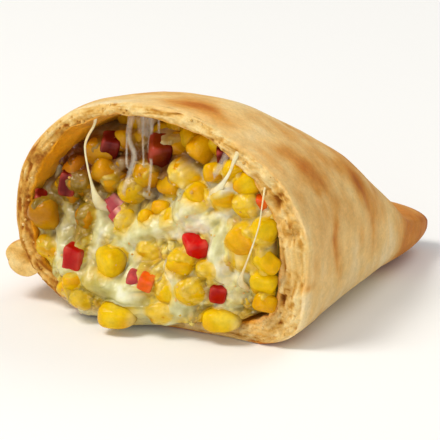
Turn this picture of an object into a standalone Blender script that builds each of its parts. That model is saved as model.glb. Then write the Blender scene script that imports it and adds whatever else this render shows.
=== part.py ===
"""Half of a baked humita empanada, as one cut across its middle leaves it.

A domed case of shortcrust pastry is folded over a filling of sweet corn, melted cheese and diced
red pepper, and its edge is crimped into a rope.  Metres, +Z up.  The cut faces -Y and the tip points
to +Y.  The fold is on the +X side and the crimped seam runs round the -X side.  Depth is measured
from the cut towards the tip, and CUT_Y is where the cut stands.
"""

import math

import bmesh
import bpy
import numpy as np
from mathutils import Euler, Matrix, Vector

MM = 0.001

# Where the cut's middle stands, so that the origin is under the middle of the whole half
CUT_X = 1.8 * MM
CUT_Y = -33.2 * MM

# The case: half of a half-moon about 149 mm long
LENGTH = 74.5 * MM
SEAM_X = -35.0 * MM
FOLD_X = 35.0 * MM
TIP_X = 27.0 * MM
CROWN_HEIGHT = 48.5 * MM
SHOULDER_HEIGHT = 22.0 * MM
TIP_HEIGHT = 5.8 * MM
TIP_THICKNESS = 14.0 * MM
LOBE_BLEND = 3.5 * MM
DOME_LENGTH = 61.0 * MM
CREST_SHARE = 0.43
BASE_DROP = 1.0 * MM
UNDULATION = 0.45 * MM
UNDULATION_LENGTH = 23.0 * MM
RESTING_BAND = 6.0 * MM

# How each line runs down to the tip: 1 less the share of the length to the first power, to the second
SEAM_FALL = (2.1, 0.62)
FOLD_FALL = (1.5, 0.5)
DOME_FALL = (2.2, 0.66)
LOBE_FALL = (7.0, 0.5)
BASE_FALL = (8.0, 0.5)
SHOULDER_FALL = (1.5, 1.0)

# How square each quarter of a section is: 2 is an ellipse.  The lower ones go from the first value at
# the tip to the second at the cut, within SQUARED_SHARE of the length
UPPER_SQUARENESS = 2.03
LOW_FOLD_SQUARENESS = (2.3, 5.0)
LOW_SEAM_SQUARENESS = (2.0, 2.6)
SQUARED_SHARE = 0.65

# The hollow that the filling lies in
HOLLOW_LENGTH = 57.0 * MM
HOLLOW_FALL = (5.0, 0.5)
ROOF_THICKNESS = 2.7 * MM
FLOOR_THICKNESS = 4.0 * MM
FLOOR_FLATTENING = 0.8 * MM
FOLD_THICKNESS = 7.0 * MM
SEAM_THICKNESS = 4.9 * MM
CUT_RELIEF = 0.45 * MM
CUT_STANDOFF = 0.3 * MM
CUT_BULGE = 0.35 * MM
CRUMB_LENGTH = 4.5 * MM
BREAK_LENGTH = 26.0 * MM

# The crimped rope along the seam, which runs out in the tip's lobe
ROPE_RADIUS = 4.9 * MM
ROPE_END_RADIUS = 3.0 * MM
ROPE_FLATTENING = 0.84
ROPE_PITCH = 10.5 * MM
ROPE_GROOVE = 0.30
ROPE_HEIGHT = 9.5 * MM
ROPE_INSET = 0.4 * MM
ROPE_END_INSET = 2.8 * MM
ROPE_REACH = 0.95
ROPE_START = 0.3 * MM
ROPE_TAPER_FROM = 0.7
FOLD_ROUNDNESS = 0.6

# The filling's front: over the lip at the bottom, steep above it, with an air pocket under the roof
FILLING_GAP = 0.35 * MM
LIP_FRONT = -4.4 * MM
LIP_HEIGHT = 15.0 * MM
LIP_LEFT = -21.0 * MM
LIP_RIGHT = 11.0 * MM
FACE_DEPTH = 1.2 * MM
FACE_SLOPE = 0.17
SIDE_TILT = 0.10
FRONT_RIPPLE = 0.9 * MM
FRONT_RIPPLE_LENGTH = 11.0 * MM
FRONT_MIDDLE = 21.0 * MM
LEAST_DEPTH = 0.8 * MM
POCKET_X = -4.0 * MM
POCKET_Z = 43.0 * MM
POCKET_WIDTH = 40.0 * MM
POCKET_DROP = 9.0 * MM
POCKET_DEPTH = 16.0 * MM

# What lies in the filling
KERNEL_LENGTH = 8.4 * MM
KERNEL_WIDTH = 7.6 * MM
KERNEL_THICKNESS = 5.8 * MM
KERNEL_SPACING = 7.3 * MM
KERNEL_SUNK = 0.3 * MM
KERNEL_ROWS = 7
KERNEL_COLUMNS = 4
KERNEL_LOWEST = 7.0 * MM
PEPPER_SIDE = 5.2 * MM
PEPPER_EVERY = 6
SPILL_LUMPS = 4
SPILL_KERNELS = 4
SPILL_HEIGHT = 5.3 * MM
SPILL_DEPTH = -3.9 * MM
SEED = 11

# Mesh density
AROUND = 52
OUTER_RINGS = 26
INNER_RINGS = 13
ROPE_SIDES = 12
ROPE_STEPS_PER_FOLD = 9

PASTRY = ("baked shortcrust pastry", (0.80, 0.52, 0.22), 0.55)
FILLING = ("sweet corn in melted cheese", (0.80, 0.62, 0.16), 0.35)


def clear_scene():
    """Removes every object that the file opened with."""
    for old in list(bpy.data.objects):
        bpy.data.objects.remove(old)


def smoothstep(low, high, value):
    """0 below low, 1 above high and an S curve between."""
    share = np.clip((value - low) / (high - low), 0.0, 1.0)
    return share * share * (3.0 - 2.0 * share)


def smooth_max(first, second, reach):
    """The larger of two values, with the corner rounded where they differ by less than reach."""
    share = np.clip(0.5 + 0.5 * (first - second) / reach, 0.0, 1.0)
    return second + (first - second) * share + reach * share * (1.0 - share)


def power(value, exponent):
    """value to the exponent, with its sign kept."""
    return np.sign(value) * np.abs(value) ** exponent


def ripple(points, wavelength, seed, waves=7):
    """Soft noise of about one wavelength: the mean of sine waves in seeded directions."""
    draw = np.random.default_rng(seed)
    ways = draw.normal(size=(waves, 3))
    ways /= np.linalg.norm(ways, axis=1, keepdims=True)
    ways *= draw.uniform(0.7, 1.4, size=(waves, 1))
    phase = draw.uniform(0.0, 2.0 * math.pi, waves)
    angle = points @ ways.T * (2.0 * math.pi / wavelength) + phase
    return np.sin(angle).sum(axis=-1) / math.sqrt(waves / 2.0) / 1.6


def material(name, colour, roughness):
    made = bpy.data.materials.new(name)
    made.use_nodes = True
    shader = made.node_tree.nodes["Principled BSDF"]
    shader.inputs["Base Color"].default_value = (*colour, 1.0)
    shader.inputs["Roughness"].default_value = roughness
    shader.inputs["Metallic"].default_value = 0.0
    return made


def mesh_object(name, points, faces):
    """A named object from points and faces, with its normals made to face out."""
    mesh = bpy.data.meshes.new(name)
    mesh.from_pydata([tuple(p) for p in points], [], faces)
    shape = bmesh.new()
    shape.from_mesh(mesh)
    bmesh.ops.recalc_face_normals(shape, faces=shape.faces)
    shape.to_mesh(mesh)
    shape.free()
    mesh.shade_smooth()
    made = bpy.data.objects.new(name, mesh)
    bpy.context.scene.collection.objects.link(made)
    return made


def ring_faces(rings, sides):
    """Quads between neighbouring rings of points, each ring closed on itself."""
    faces = []
    for ring in range(rings - 1):
        for side in range(sides):
            right = (side + 1) % sides
            low, high = ring * sides, (ring + 1) * sides
            faces.append((low + side, low + right, high + right, high + side))
    return faces


def closed_by_poles(rings):
    """Points and faces of a stack of rings whose two ends close on a point each."""
    count, sides, _ = rings.shape
    points = rings.reshape(-1, 3)
    ends = np.array([rings[0].mean(axis=0), rings[-1].mean(axis=0)])
    faces = ring_faces(count, sides)
    first, last = count * sides, count * sides + 1
    for side in range(sides):
        right = (side + 1) % sides
        faces.append((first, right, side))
        faces.append((last, (count - 1) * sides + side, (count - 1) * sides + right))
    return np.vstack([points, ends]), faces


def fuse(body, pieces):
    """Joins the pieces to the body with one Boolean union, applies it and removes the pieces."""
    group = bpy.data.collections.new(body.name + " pieces")
    bpy.context.scene.collection.children.link(group)
    for piece in pieces:
        bpy.context.scene.collection.objects.unlink(piece)
        group.objects.link(piece)
    union = body.modifiers.new("joined pieces", "BOOLEAN")
    union.operation = "UNION"
    union.operand_type = "COLLECTION"
    union.collection = group
    union.solver = "MANIFOLD"
    bpy.context.view_layer.update()
    graph = bpy.context.evaluated_depsgraph_get()
    joined = bpy.data.meshes.new_from_object(body.evaluated_get(graph))
    body.modifiers.clear()
    body.data = joined
    for piece in pieces:
        bpy.data.objects.remove(piece)
    bpy.data.collections.remove(group)


def falling(share, fall):
    """A line's height at a share of the way to the tip, from 1 at the cut to 0 at the tip."""
    return (1.0 - share ** fall[0]) ** fall[1]


def plan_edges(depth):
    """The seam-side and fold-side edges of the case seen from above, which meet at the tip."""
    share = np.clip(depth / LENGTH, 0.0, 1.0)
    seam = TIP_X - (TIP_X - SEAM_X) * falling(share, SEAM_FALL)
    fold = TIP_X + (FOLD_X - TIP_X) * falling(share, FOLD_FALL)
    return seam, fold


def height_lines(depth):
    """The base, shoulder and crown heights at each depth.  The crown is the dome's curve, or the
    flattened lobe of the tip where that is higher."""
    share = np.clip(depth / LENGTH, 0.0, 1.0)
    dome_share = np.clip(depth / DOME_LENGTH, 0.0, 1.0)
    rise = CROWN_HEIGHT - TIP_HEIGHT
    dome = TIP_HEIGHT + rise * falling(dome_share, DOME_FALL)
    lobe = TIP_HEIGHT + 0.5 * TIP_THICKNESS * falling(share, LOBE_FALL)
    crown = smooth_max(dome, lobe, LOBE_BLEND)
    crown = np.where(share >= 1.0, TIP_HEIGHT, crown)
    base = TIP_HEIGHT - (TIP_HEIGHT + BASE_DROP) * falling(share, BASE_FALL)
    shoulder = TIP_HEIGHT + (SHOULDER_HEIGHT - TIP_HEIGHT) * falling(share, SHOULDER_FALL)
    return base, shoulder, crown


def wall_ring(depth, angle, seam, fold, base, shoulder, crown):
    """One closed ring: four quarters of superellipses that meet at the crest, shoulders and base."""
    crest = seam + CREST_SHARE * (fold - seam)
    across, up = np.cos(angle), np.sin(angle)
    squared = 1.0 - smoothstep(0.0, SQUARED_SHARE, depth / LENGTH)
    low_fold = LOW_FOLD_SQUARENESS[0] + (LOW_FOLD_SQUARENESS[1] - LOW_FOLD_SQUARENESS[0]) * squared
    low_seam = LOW_SEAM_SQUARENESS[0] + (LOW_SEAM_SQUARENESS[1] - LOW_SEAM_SQUARENESS[0]) * squared
    exponent = np.where(up >= 0.0, UPPER_SQUARENESS, np.where(across > 0.0, low_fold, low_seam))
    reach = np.where(across > 0.0, fold - crest, crest - seam)
    tall = np.where(up >= 0.0, crown - shoulder, shoulder - base)
    x = crest + reach * power(across, 2.0 / exponent)
    z = shoulder + tall * power(up, 2.0 / exponent)
    return x, z


def outer_wall(depth, angle):
    """Points of the outside of the case, flat where it rests, with the soft unevenness of dough."""
    depth, angle = np.broadcast_arrays(depth, angle)
    seam, fold = plan_edges(depth)
    base, shoulder, crown = height_lines(depth)
    x, z = wall_ring(depth, angle, seam, fold, base, shoulder, crown)
    points = np.stack([x, depth, z], axis=-1)
    middle = np.stack([0.5 * (seam + fold), depth, shoulder], axis=-1)
    outward = points - middle
    outward /= np.maximum(np.linalg.norm(outward, axis=-1, keepdims=True), 1.0 * MM)
    free = smoothstep(0.0, RESTING_BAND, z) * (1.0 - smoothstep(0.8, 1.0, depth / LENGTH))
    swell = UNDULATION * ripple(points, UNDULATION_LENGTH, SEED) * free
    points = points + outward * swell[..., None]
    points[..., 2] = np.maximum(points[..., 2], 0.0)
    return points


def inner_wall(depth, angle, inset=0.0):
    """Points of the inside of the case: the outside drawn in by the crust's thickness, closing on a
    rounded end.  inset draws it in further, for what lies inside."""
    depth, angle = np.broadcast_arrays(depth, angle)
    seam, fold = plan_edges(depth)
    base, shoulder, crown = height_lines(depth)
    seam = seam + SEAM_THICKNESS + inset
    fold = fold - FOLD_THICKNESS - inset
    crown = crown - ROOF_THICKNESS - inset
    floor = FLOOR_THICKNESS + inset
    end = HOLLOW_LENGTH - inset
    closing = falling(np.clip(depth / end, 0.0, 1.0), HOLLOW_FALL)
    x, z = wall_ring(depth, angle, seam, fold, floor - FLOOR_FLATTENING, shoulder, crown)
    z = np.maximum(z, floor)
    middle_x, middle_z = 0.5 * (seam + fold), 0.5 * (floor + crown)
    x = middle_x + (x - middle_x) * closing
    z = middle_z + (z - middle_z) * closing
    return np.stack([x, depth, z], axis=-1)


def cut_relief(points, seed):
    """How far the broken face of the cut stands behind its plane: crumbly, and never forward by much."""
    crumb = ripple(points, CRUMB_LENGTH, seed)
    wave = ripple(points, BREAK_LENGTH, seed + 1)
    return CUT_RELIEF * (0.7 * crumb + 0.6 * wave) + CUT_STANDOFF


def case_object():
    """The pastry case: outside from the tip to the cut, the cut's face, then the inside to its end."""
    angle = np.arange(AROUND) * (2.0 * math.pi / AROUND)
    step = np.linspace(0.0, 1.0, OUTER_RINGS)[:-1]
    outer_depth = LENGTH * (1.0 - 0.002) * np.sin(0.5 * math.pi * (1.0 - step) ** 1.15)
    outer = outer_wall(outer_depth[:, None], angle[None, :])
    lip = outer_wall(np.zeros(1)[:, None], angle[None, :])
    bore = inner_wall(np.zeros(1)[:, None], angle[None, :])
    middle = 0.45 * lip + 0.55 * bore
    face = np.concatenate([lip, middle, bore])
    face[..., 1] += cut_relief(face, SEED + 3)
    face[1, :, 1] -= CUT_BULGE
    step = np.linspace(0.0, 1.0, INNER_RINGS + 1)[1:]
    inner_depth = HOLLOW_LENGTH * (1.0 - 0.004) * np.sin(0.5 * math.pi * step)
    inner = inner_wall(inner_depth[:, None], angle[None, :])
    points, faces = closed_by_poles(np.concatenate([outer, face, inner]))
    return mesh_object("pastry_case", points, faces)


def seam_path(count):
    """The rope's centre line in even steps, just inside the seam edge of the plan and down to the
    tip's height, with how far each point is from the cut."""
    depth = LENGTH * np.sin(np.linspace(0.0, 0.5 * math.pi * ROPE_REACH, 400))
    seam, _ = plan_edges(depth)
    share = depth / depth[-1]
    height = ROPE_HEIGHT + (TIP_HEIGHT - ROPE_HEIGHT) * share
    edge = np.stack([seam, depth, height], axis=-1)
    ahead = np.gradient(edge, axis=0)
    inward = np.cross(ahead, (0.0, 0.0, 1.0))
    inward /= np.linalg.norm(inward, axis=1, keepdims=True)
    inset = ROPE_INSET + (ROPE_END_INSET - ROPE_INSET) * smoothstep(ROPE_TAPER_FROM, 1.0, share)
    line = edge + inward * inset[:, None]
    run = np.concatenate([[0.0], np.cumsum(np.linalg.norm(np.diff(line, axis=0), axis=1))])
    even = np.linspace(ROPE_START, run[-1], count)
    return np.stack([np.interp(even, run, line[:, i]) for i in range(3)], axis=-1), even


def rope_object():
    """The crimp: a flattened tube along the seam whose radius follows a helix, one fold to each turn,
    so that the folds lie slanted across it as they do where each one is pressed over the last."""
    length = seam_path(2)[1][-1]
    count = int(length / ROPE_PITCH * ROPE_STEPS_PER_FOLD)
    line, run = seam_path(count)
    ahead = np.gradient(line, axis=0)
    up = np.array([0.0, 0.0, 1.0])
    out = np.cross(up, ahead)
    out /= np.linalg.norm(out, axis=1, keepdims=True)
    turn = np.arange(ROPE_SIDES) * (2.0 * math.pi / ROPE_SIDES)
    twist = run[:, None] / ROPE_PITCH + turn[None, :] / (2.0 * math.pi)
    fold = np.abs(np.sin(math.pi * twist)) ** FOLD_ROUNDNESS
    taper = smoothstep(ROPE_TAPER_FROM, 1.0, run / run[-1])[:, None]
    radius = ROPE_RADIUS + (ROPE_END_RADIUS - ROPE_RADIUS) * taper
    radius = radius * (1.0 - ROPE_GROOVE + ROPE_GROOVE * fold)
    sideways = (radius * np.cos(turn))[..., None] * out[:, None, :]
    upward = (ROPE_FLATTENING * radius * np.sin(turn))[..., None] * up
    points, faces = closed_by_poles(line[:, None, :] + sideways + upward)
    return mesh_object("seam rope", points, faces)


def filling_front(x, z):
    """Depth of the filling's front at each place on the cut.  It comes out over the lip at the bottom,
    leans back towards the roof and the seam side, and goes in at the air pocket under the roof."""
    depth = FACE_DEPTH + FACE_SLOPE * (z - LIP_HEIGHT) * smoothstep(LIP_HEIGHT, 2.0 * LIP_HEIGHT, z)
    spill = smoothstep(LIP_LEFT - 6.0 * MM, LIP_LEFT + 4.0 * MM, x)
    spill = spill * (1.0 - smoothstep(LIP_RIGHT - 3.0 * MM, LIP_RIGHT + 9.0 * MM, x))
    low = 1.0 - smoothstep(0.4 * LIP_HEIGHT, 1.5 * LIP_HEIGHT, z)
    depth = depth + (LIP_FRONT - FACE_DEPTH) * spill * low
    depth = depth - SIDE_TILT * x * smoothstep(0.5 * LIP_HEIGHT, 2.0 * LIP_HEIGHT, z)
    across = (x - POCKET_X) / (0.5 * POCKET_WIDTH)
    up = (z - POCKET_Z) / POCKET_DROP
    pocket = 1.0 - smoothstep(0.5, 1.0, np.hypot(across, np.minimum(up, 0.0)))
    places = np.stack(np.broadcast_arrays(x, 0.0 * x, z), axis=-1)
    return depth + POCKET_DEPTH * pocket + FRONT_RIPPLE * ripple(places, FRONT_RIPPLE_LENGTH, SEED + 5)


def filling_core():
    """The filling without its pieces: its front, then its side along the inside of the case."""
    angle = np.arange(AROUND) * (2.0 * math.pi / AROUND)
    edge = np.full(AROUND, 1.0 * MM)
    for _ in range(12):
        ring = inner_wall(edge, angle, FILLING_GAP)
        wanted = filling_front(ring[:, 0], ring[:, 2])
        edge = 0.5 * edge + 0.5 * np.maximum(wanted, LEAST_DEPTH)
    rim = inner_wall(edge, angle, FILLING_GAP)
    centre = np.array([rim[:, 0].mean(), 0.0, FRONT_MIDDLE])
    share = np.array([0.06, 0.2, 0.36, 0.52, 0.67, 0.8, 0.9, 0.965])[:, None]
    x = centre[0] + (rim[None, :, 0] - centre[0]) * share
    z = centre[2] + (rim[None, :, 2] - centre[2]) * share
    settle = smoothstep(0.86, 1.0, share)
    y = filling_front(x, z) * (1.0 - settle) + rim[None, :, 1] * settle
    front = np.stack([x, y, z], axis=-1)
    end = (HOLLOW_LENGTH - FILLING_GAP) * 0.995
    along = np.linspace(0.0, 1.0, 9)[:, None] ** 0.8
    depth = edge[None, :] + (end - edge[None, :]) * np.sin(0.5 * math.pi * along)
    side = inner_wall(depth, angle[None, :], FILLING_GAP)
    points, faces = closed_by_poles(np.concatenate([front, side]))
    return mesh_object("filling", points, faces)


def lump(name, centre, radii, sides=10, rows=6):
    """An ellipsoid of melted cheese and mashed corn."""
    polar = np.linspace(0.0, math.pi, rows + 2)[1:-1, None]
    turn = np.arange(sides)[None, :] * (2.0 * math.pi / sides)
    rings = np.stack(
        [
            centre[0] + radii[0] * np.sin(polar) * np.cos(turn),
            centre[1] + radii[1] * np.sin(polar) * np.sin(turn),
            centre[2] + radii[2] * np.cos(polar) * np.ones_like(turn),
        ],
        axis=-1,
    )
    points, faces = closed_by_poles(rings)
    return mesh_object(name, points, faces)


def kernel_object(name, place, spin, scale, sides=8, rows=6):
    """A cut corn kernel: a rounded wedge, broad and slightly hollow at its crown and narrow at its root."""
    height = np.cos(np.linspace(0.0, math.pi, rows + 2)[1:-1])[:, None]
    turn = np.arange(sides)[None, :] * (2.0 * math.pi / sides)
    girth = (1.0 - np.abs(height) ** 2.6) ** 0.5
    narrow = 0.84 + 0.16 * height
    x = 0.5 * KERNEL_WIDTH * girth * narrow * power(np.cos(turn), 0.8)
    y = 0.5 * KERNEL_THICKNESS * girth * narrow * power(np.sin(turn), 0.8)
    z = 0.5 * KERNEL_LENGTH * height * np.ones_like(turn)
    rings = np.stack([x, y, z], axis=-1).reshape(-1, 3) * scale
    turned = rings @ np.array(Euler(spin).to_matrix()).T + np.array(place)
    points, faces = closed_by_poles(turned.reshape(rows, sides, 3))
    return mesh_object(name, points, faces)


def pepper_object(name, place, spin):
    """A die of red pepper with its edges cut off."""
    made = bmesh.new()
    bmesh.ops.create_cube(made, size=PEPPER_SIDE)
    bmesh.ops.bevel(made, geom=made.edges[:], offset=0.14 * PEPPER_SIDE, segments=1, affect="EDGES")
    bmesh.ops.transform(made, matrix=Matrix.LocRotScale(Vector(place), Euler(spin), None), verts=made.verts)
    mesh = bpy.data.meshes.new(name)
    made.to_mesh(mesh)
    made.free()
    piece = bpy.data.objects.new(name, mesh)
    bpy.context.scene.collection.objects.link(piece)
    return piece


def room_inside(place):
    """How far a place lies inside the hollow's outline at its own depth, below 0 where it is outside."""
    angle = np.arange(AROUND) * (2.0 * math.pi / AROUND)
    ring = inner_wall(np.full(AROUND, max(place[1], 0.0)), angle)
    x, z = ring[:, 0] - place[0], ring[:, 2] - place[2]
    turns = np.arctan2(x * np.roll(z, -1) - z * np.roll(x, -1), x * np.roll(x, -1) + z * np.roll(z, -1))
    enclosed = abs(turns.sum()) > math.pi
    return float(np.hypot(x, z).min()) * (1.0 if enclosed else -1.0)


def kernel_places():
    """Kernels on the filling's front: a staggered grid over the cut, each one moved by a seeded draw."""
    draw = np.random.default_rng(SEED)
    places = []
    for row in range(KERNEL_ROWS):
        for column in range(-KERNEL_COLUMNS, KERNEL_COLUMNS + 1):
            nudge = draw.uniform(-1.2, 1.2, 2) * MM
            spin = draw.uniform(0.0, 2.0 * math.pi, 3)
            scale = draw.uniform(0.86, 1.12)
            x = (column + 0.5 * (row % 2)) * KERNEL_SPACING + nudge[0]
            z = KERNEL_LOWEST + 0.82 * row * KERNEL_SPACING + nudge[1]
            place = (x, float(filling_front(x, z)) + KERNEL_SUNK, z)
            if room_inside(place) > 0.55 * KERNEL_LENGTH * scale:
                places.append((place, spin, scale))
    return places


def spill_pieces():
    """What hangs over the bottom lip, clear of it: lumps of melted cheese side by side, large and small
    in turn, with kernels stuck to their front."""
    draw = np.random.default_rng(SEED + 1)
    pieces = []
    for number in range(SPILL_LUMPS):
        x = LIP_LEFT + (number + 0.5) / SPILL_LUMPS * (LIP_RIGHT - LIP_LEFT)
        size = 1.0 - 0.2 * (number % 2)
        centre = (x, SPILL_DEPTH, SPILL_HEIGHT)
        pieces.append(lump(f"spill lump {number}", centre, (6.8 * MM, 2.7 * MM * size, 4.7 * MM * size)))
    for number in range(SPILL_KERNELS):
        x = LIP_LEFT + (number + 0.75) / SPILL_KERNELS * (LIP_RIGHT + 5.0 * MM - LIP_LEFT)
        spin = (draw.uniform(-0.3, 0.3), draw.uniform(0.9, 2.2), draw.uniform(-0.3, 0.3))
        place = (x, SPILL_DEPTH - 1.2 * MM, SPILL_HEIGHT + draw.uniform(-0.3, 1.2) * MM)
        pieces.append(kernel_object(f"spill kernel {number}", place, spin, 0.9))
    return pieces


def filling_object():
    """The filling: the core, the lumps that hang over the lip, and the kernels that show."""
    core = filling_core()
    pieces = spill_pieces()
    for number, (place, spin, scale) in enumerate(kernel_places()):
        if number % PEPPER_EVERY == 2:
            pieces.append(pepper_object(f"pepper {number}", place, spin))
        else:
            pieces.append(kernel_object(f"kernel {number}", place, spin, scale))
    fuse(core, pieces)
    return core


def build():
    clear_scene()
    case = case_object()
    fuse(case, [rope_object()])
    case.data.materials.clear()
    case.data.materials.append(material(*PASTRY))
    filling = filling_object()
    filling.data.materials.clear()
    filling.data.materials.append(material(*FILLING))
    for piece in (case, filling):
        piece.location = Vector((CUT_X, CUT_Y, 0.0))
        piece.data.shade_smooth()


build()
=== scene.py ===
"""The looks of half a baked humita empanada: a case of shortcrust pastry cut open on sweet corn, red
pepper and melted cheese.

Places are in millimetres and measured from the cut: x across it from its middle, y the depth from the
cut towards the tip, and z up from the table.  mesh_piece turns them into the frame's metres.
"""

import itertools
import math

import bpy
import numpy as np
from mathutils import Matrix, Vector


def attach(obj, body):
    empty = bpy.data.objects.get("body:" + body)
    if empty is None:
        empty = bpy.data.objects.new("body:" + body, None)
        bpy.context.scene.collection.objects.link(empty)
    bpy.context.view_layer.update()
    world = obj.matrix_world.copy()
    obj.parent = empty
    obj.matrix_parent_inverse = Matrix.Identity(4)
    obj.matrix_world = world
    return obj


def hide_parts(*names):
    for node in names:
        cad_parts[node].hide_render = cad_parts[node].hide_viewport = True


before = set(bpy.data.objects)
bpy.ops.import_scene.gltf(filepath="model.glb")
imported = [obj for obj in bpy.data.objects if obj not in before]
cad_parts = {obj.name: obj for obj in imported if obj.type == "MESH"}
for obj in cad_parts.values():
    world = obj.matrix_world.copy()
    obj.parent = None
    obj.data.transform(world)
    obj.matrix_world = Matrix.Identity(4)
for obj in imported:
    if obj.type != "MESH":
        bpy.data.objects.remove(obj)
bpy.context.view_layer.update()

# The pastry case
# A disc of shortcrust dough folded over its filling and baked pale gold, then cut across its middle.
# It is one shell: baked skin outside, a crumbly broken edge at the cut, and a steamed, oily lining.
CUT_IN_FRAME = np.array([1.8, -33.2, 0])
METRES = 0.001
SEED = 11

LENGTH = 74.5
SEAM_X = -35
FOLD_X = 35
TIP_X = 27
CROWN_HEIGHT = 48.5
SHOULDER_HEIGHT = 22
TIP_HEIGHT = 5.8
TIP_THICKNESS = 16.4
LOBE_BLEND = 3.5
DOME_LENGTH = 60
CREST_SHARE = 0.43
BASE_DROP = 1
UNDULATION = 0.45
UNDULATION_LENGTH = 23
RESTING_BAND = 6
EVEN_TIP_SHARE = 0.8
SEAM_FALL = (2.1, 0.62)
FOLD_FALL = (1.5, 0.5)
DOME_FALL = (2.2, 0.66)
LOBE_FALL = (7, 0.5)
BASE_FALL = (8, 0.5)
SHOULDER_FALL = (1.5, 1)
UPPER_SQUARENESS = 2.03
LOW_FOLD_SQUARENESS = (3.1, 5)
LOW_SEAM_SQUARENESS = (2, 2.6)
SQUARED_SHARE = 0.65

HOLLOW_LENGTH = 57
HOLLOW_FALL = (5, 0.5)
ROOF_THICKNESS = 2.7
FLOOR_THICKNESS = 4
FLOOR_FLATTENING = 0.8
FOLD_THICKNESS = 7
SEAM_THICKNESS = 4.9
CUT_RELIEF = 0.36
CUT_STANDOFF = 0.3
CRUMB_LENGTH = 4.5
BREAK_LENGTH = 26

# The last ring lies this share of the way to the end, where a fan closes the shell
LAST_RING_SHARE = 0.998
LAST_LINING_SHARE = 0.996
TIP_CROWDING = 1.15
CASE_AROUND = 600
OUTER_RINGS = 86
RIM_RINGS = 36
LINING_RINGS = 42


def linear(code):
    """The linear red, green and blue of an sRGB hex code: each channel below 0.04045 over 12.92, and the
    rest raised to 2.4 after adding 0.055 and dividing by 1.055."""
    channels = np.array([int(code[i : i + 2], 16) / 255 for i in (1, 3, 5)])
    return np.where(channels <= 0.04045, channels / 12.92, ((channels + 0.055) / 1.055) ** 2.4)


def tinted(share, codes, stops=None):
    """Colours along a scale of hex codes: share runs through the stops, which are even unless given, and
    each channel is read off."""
    scale = np.array([linear(code) for code in codes])
    stops = np.linspace(0, 1, len(codes)) if stops is None else stops
    return np.stack([np.interp(share, stops, scale[:, channel]) for channel in range(3)], axis=-1)


def mixed(first, second, share):
    """first where share is 0, second where it is 1, and a straight mix between."""
    share = np.clip(share, 0, 1)[..., None]
    return first * (1 - share) + second * share


def stained(tint, *coats):
    """A tint under coats of other colours, each a hex code and its share, mixed in one after another."""
    for code, share in coats:
        tint = mixed(tint, linear(code), share)
    return tint


def smoothstep(low, high, value):
    """0 at low and before it, 1 at high and beyond, and an S curve between.  high may be the smaller."""
    share = np.clip((value - low) / (high - low), 0, 1)
    return share * share * (3 - 2 * share)


def zoned(points, *zones):
    """What zones add up to: each is an amount times an S curve, from one value to another, along each of
    x, depth and z that it limits."""
    total = 0
    for amount, *limits in zones:
        for value, limit in zip(np.moveaxis(points, -1, 0), limits):
            if limit:
                amount = amount * smoothstep(*limit, value)
        total = total + amount
    return total


def bell(value, width):
    """A bell curve: 1 where value is 0, falling to 0.37 where it is as large as width."""
    return np.exp(-((value / width) ** 2))


def smooth_max(first, second, reach):
    """The larger of two values, with the corner rounded where they differ by less than reach."""
    share = np.clip(0.5 + 0.5 * (first - second) / reach, 0, 1)
    return second + (first - second) * share + reach * share * (1 - share)


def power(value, exponent):
    """value to the exponent, with its sign kept."""
    return np.sign(value) * np.abs(value) ** exponent


def around(count):
    """Even angles of a full turn."""
    return np.arange(count) * (2 * math.pi / count)


def ripple(points, wavelength, seed, waves=7):
    """Soft noise of about one wavelength: the mean of sine waves in seeded directions."""
    draw = np.random.default_rng(seed)
    ways = draw.normal(size=(waves, 3))
    ways /= np.linalg.norm(ways, axis=1, keepdims=True)
    ways *= draw.uniform(0.7, 1.4, size=(waves, 1))
    phase = draw.uniform(0, 2 * math.pi, waves)
    angle = points @ ways.T * (2 * math.pi / wavelength) + phase
    return np.sin(angle).sum(axis=-1) / math.sqrt(waves / 2) / 1.6


def clouds(points, size, seed, octaves=1, lattice_side=24):
    """Cloudy noise from -1 to 1: seeded values on a lattice with cells of that size, blended by S curves
    between the eight corners round a point.  Each further octave has half the cell and half the say."""
    total = 0
    for octave in range(octaves):
        lattice = np.random.default_rng(seed + 101 * octave).uniform(-1, 1, (lattice_side,) * 3)
        cell = points * (2**octave / size) + 0.37 * lattice_side
        low = np.floor(cell).astype(int)
        part = cell - low
        fade = part * part * (3 - 2 * part)
        value = 0
        for corner in itertools.product((0, 1), repeat=3):
            weight = np.where(corner, fade, 1 - fade).prod(axis=-1)
            index = (low + corner) % lattice_side
            value = value + weight * lattice[index[..., 0], index[..., 1], index[..., 2]]
        total = total + value * 0.5**octave
    return total / (2 - 0.5 ** (octaves - 1))


def falling(share, fall):
    """A line's height at a share of the way to the tip, from 1 at the cut to 0 at the tip."""
    return (1 - share ** fall[0]) ** fall[1]


def plan_edges(depth):
    """The seam-side and fold-side edges of the case seen from above, which meet at the tip."""
    share = np.clip(depth / LENGTH, 0, 1)
    seam = TIP_X - (TIP_X - SEAM_X) * falling(share, SEAM_FALL)
    fold = TIP_X + (FOLD_X - TIP_X) * falling(share, FOLD_FALL)
    return seam, fold


def height_lines(depth):
    """The base, shoulder and crown heights at each depth.  The crown is the dome's curve, or the
    flattened lobe of the tip where that is higher."""
    share = np.clip(depth / LENGTH, 0, 1)
    dome_share = np.clip(depth / DOME_LENGTH, 0, 1)
    rise = CROWN_HEIGHT - TIP_HEIGHT
    dome = TIP_HEIGHT + rise * falling(dome_share, DOME_FALL)
    lobe = TIP_HEIGHT + 0.5 * TIP_THICKNESS * falling(share, LOBE_FALL)
    crown = smooth_max(dome, lobe, LOBE_BLEND)
    crown = np.where(share >= 1, TIP_HEIGHT, crown)
    base = TIP_HEIGHT - (TIP_HEIGHT + BASE_DROP) * falling(share, BASE_FALL)
    shoulder = TIP_HEIGHT + (SHOULDER_HEIGHT - TIP_HEIGHT) * falling(share, SHOULDER_FALL)
    return base, shoulder, crown


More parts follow.
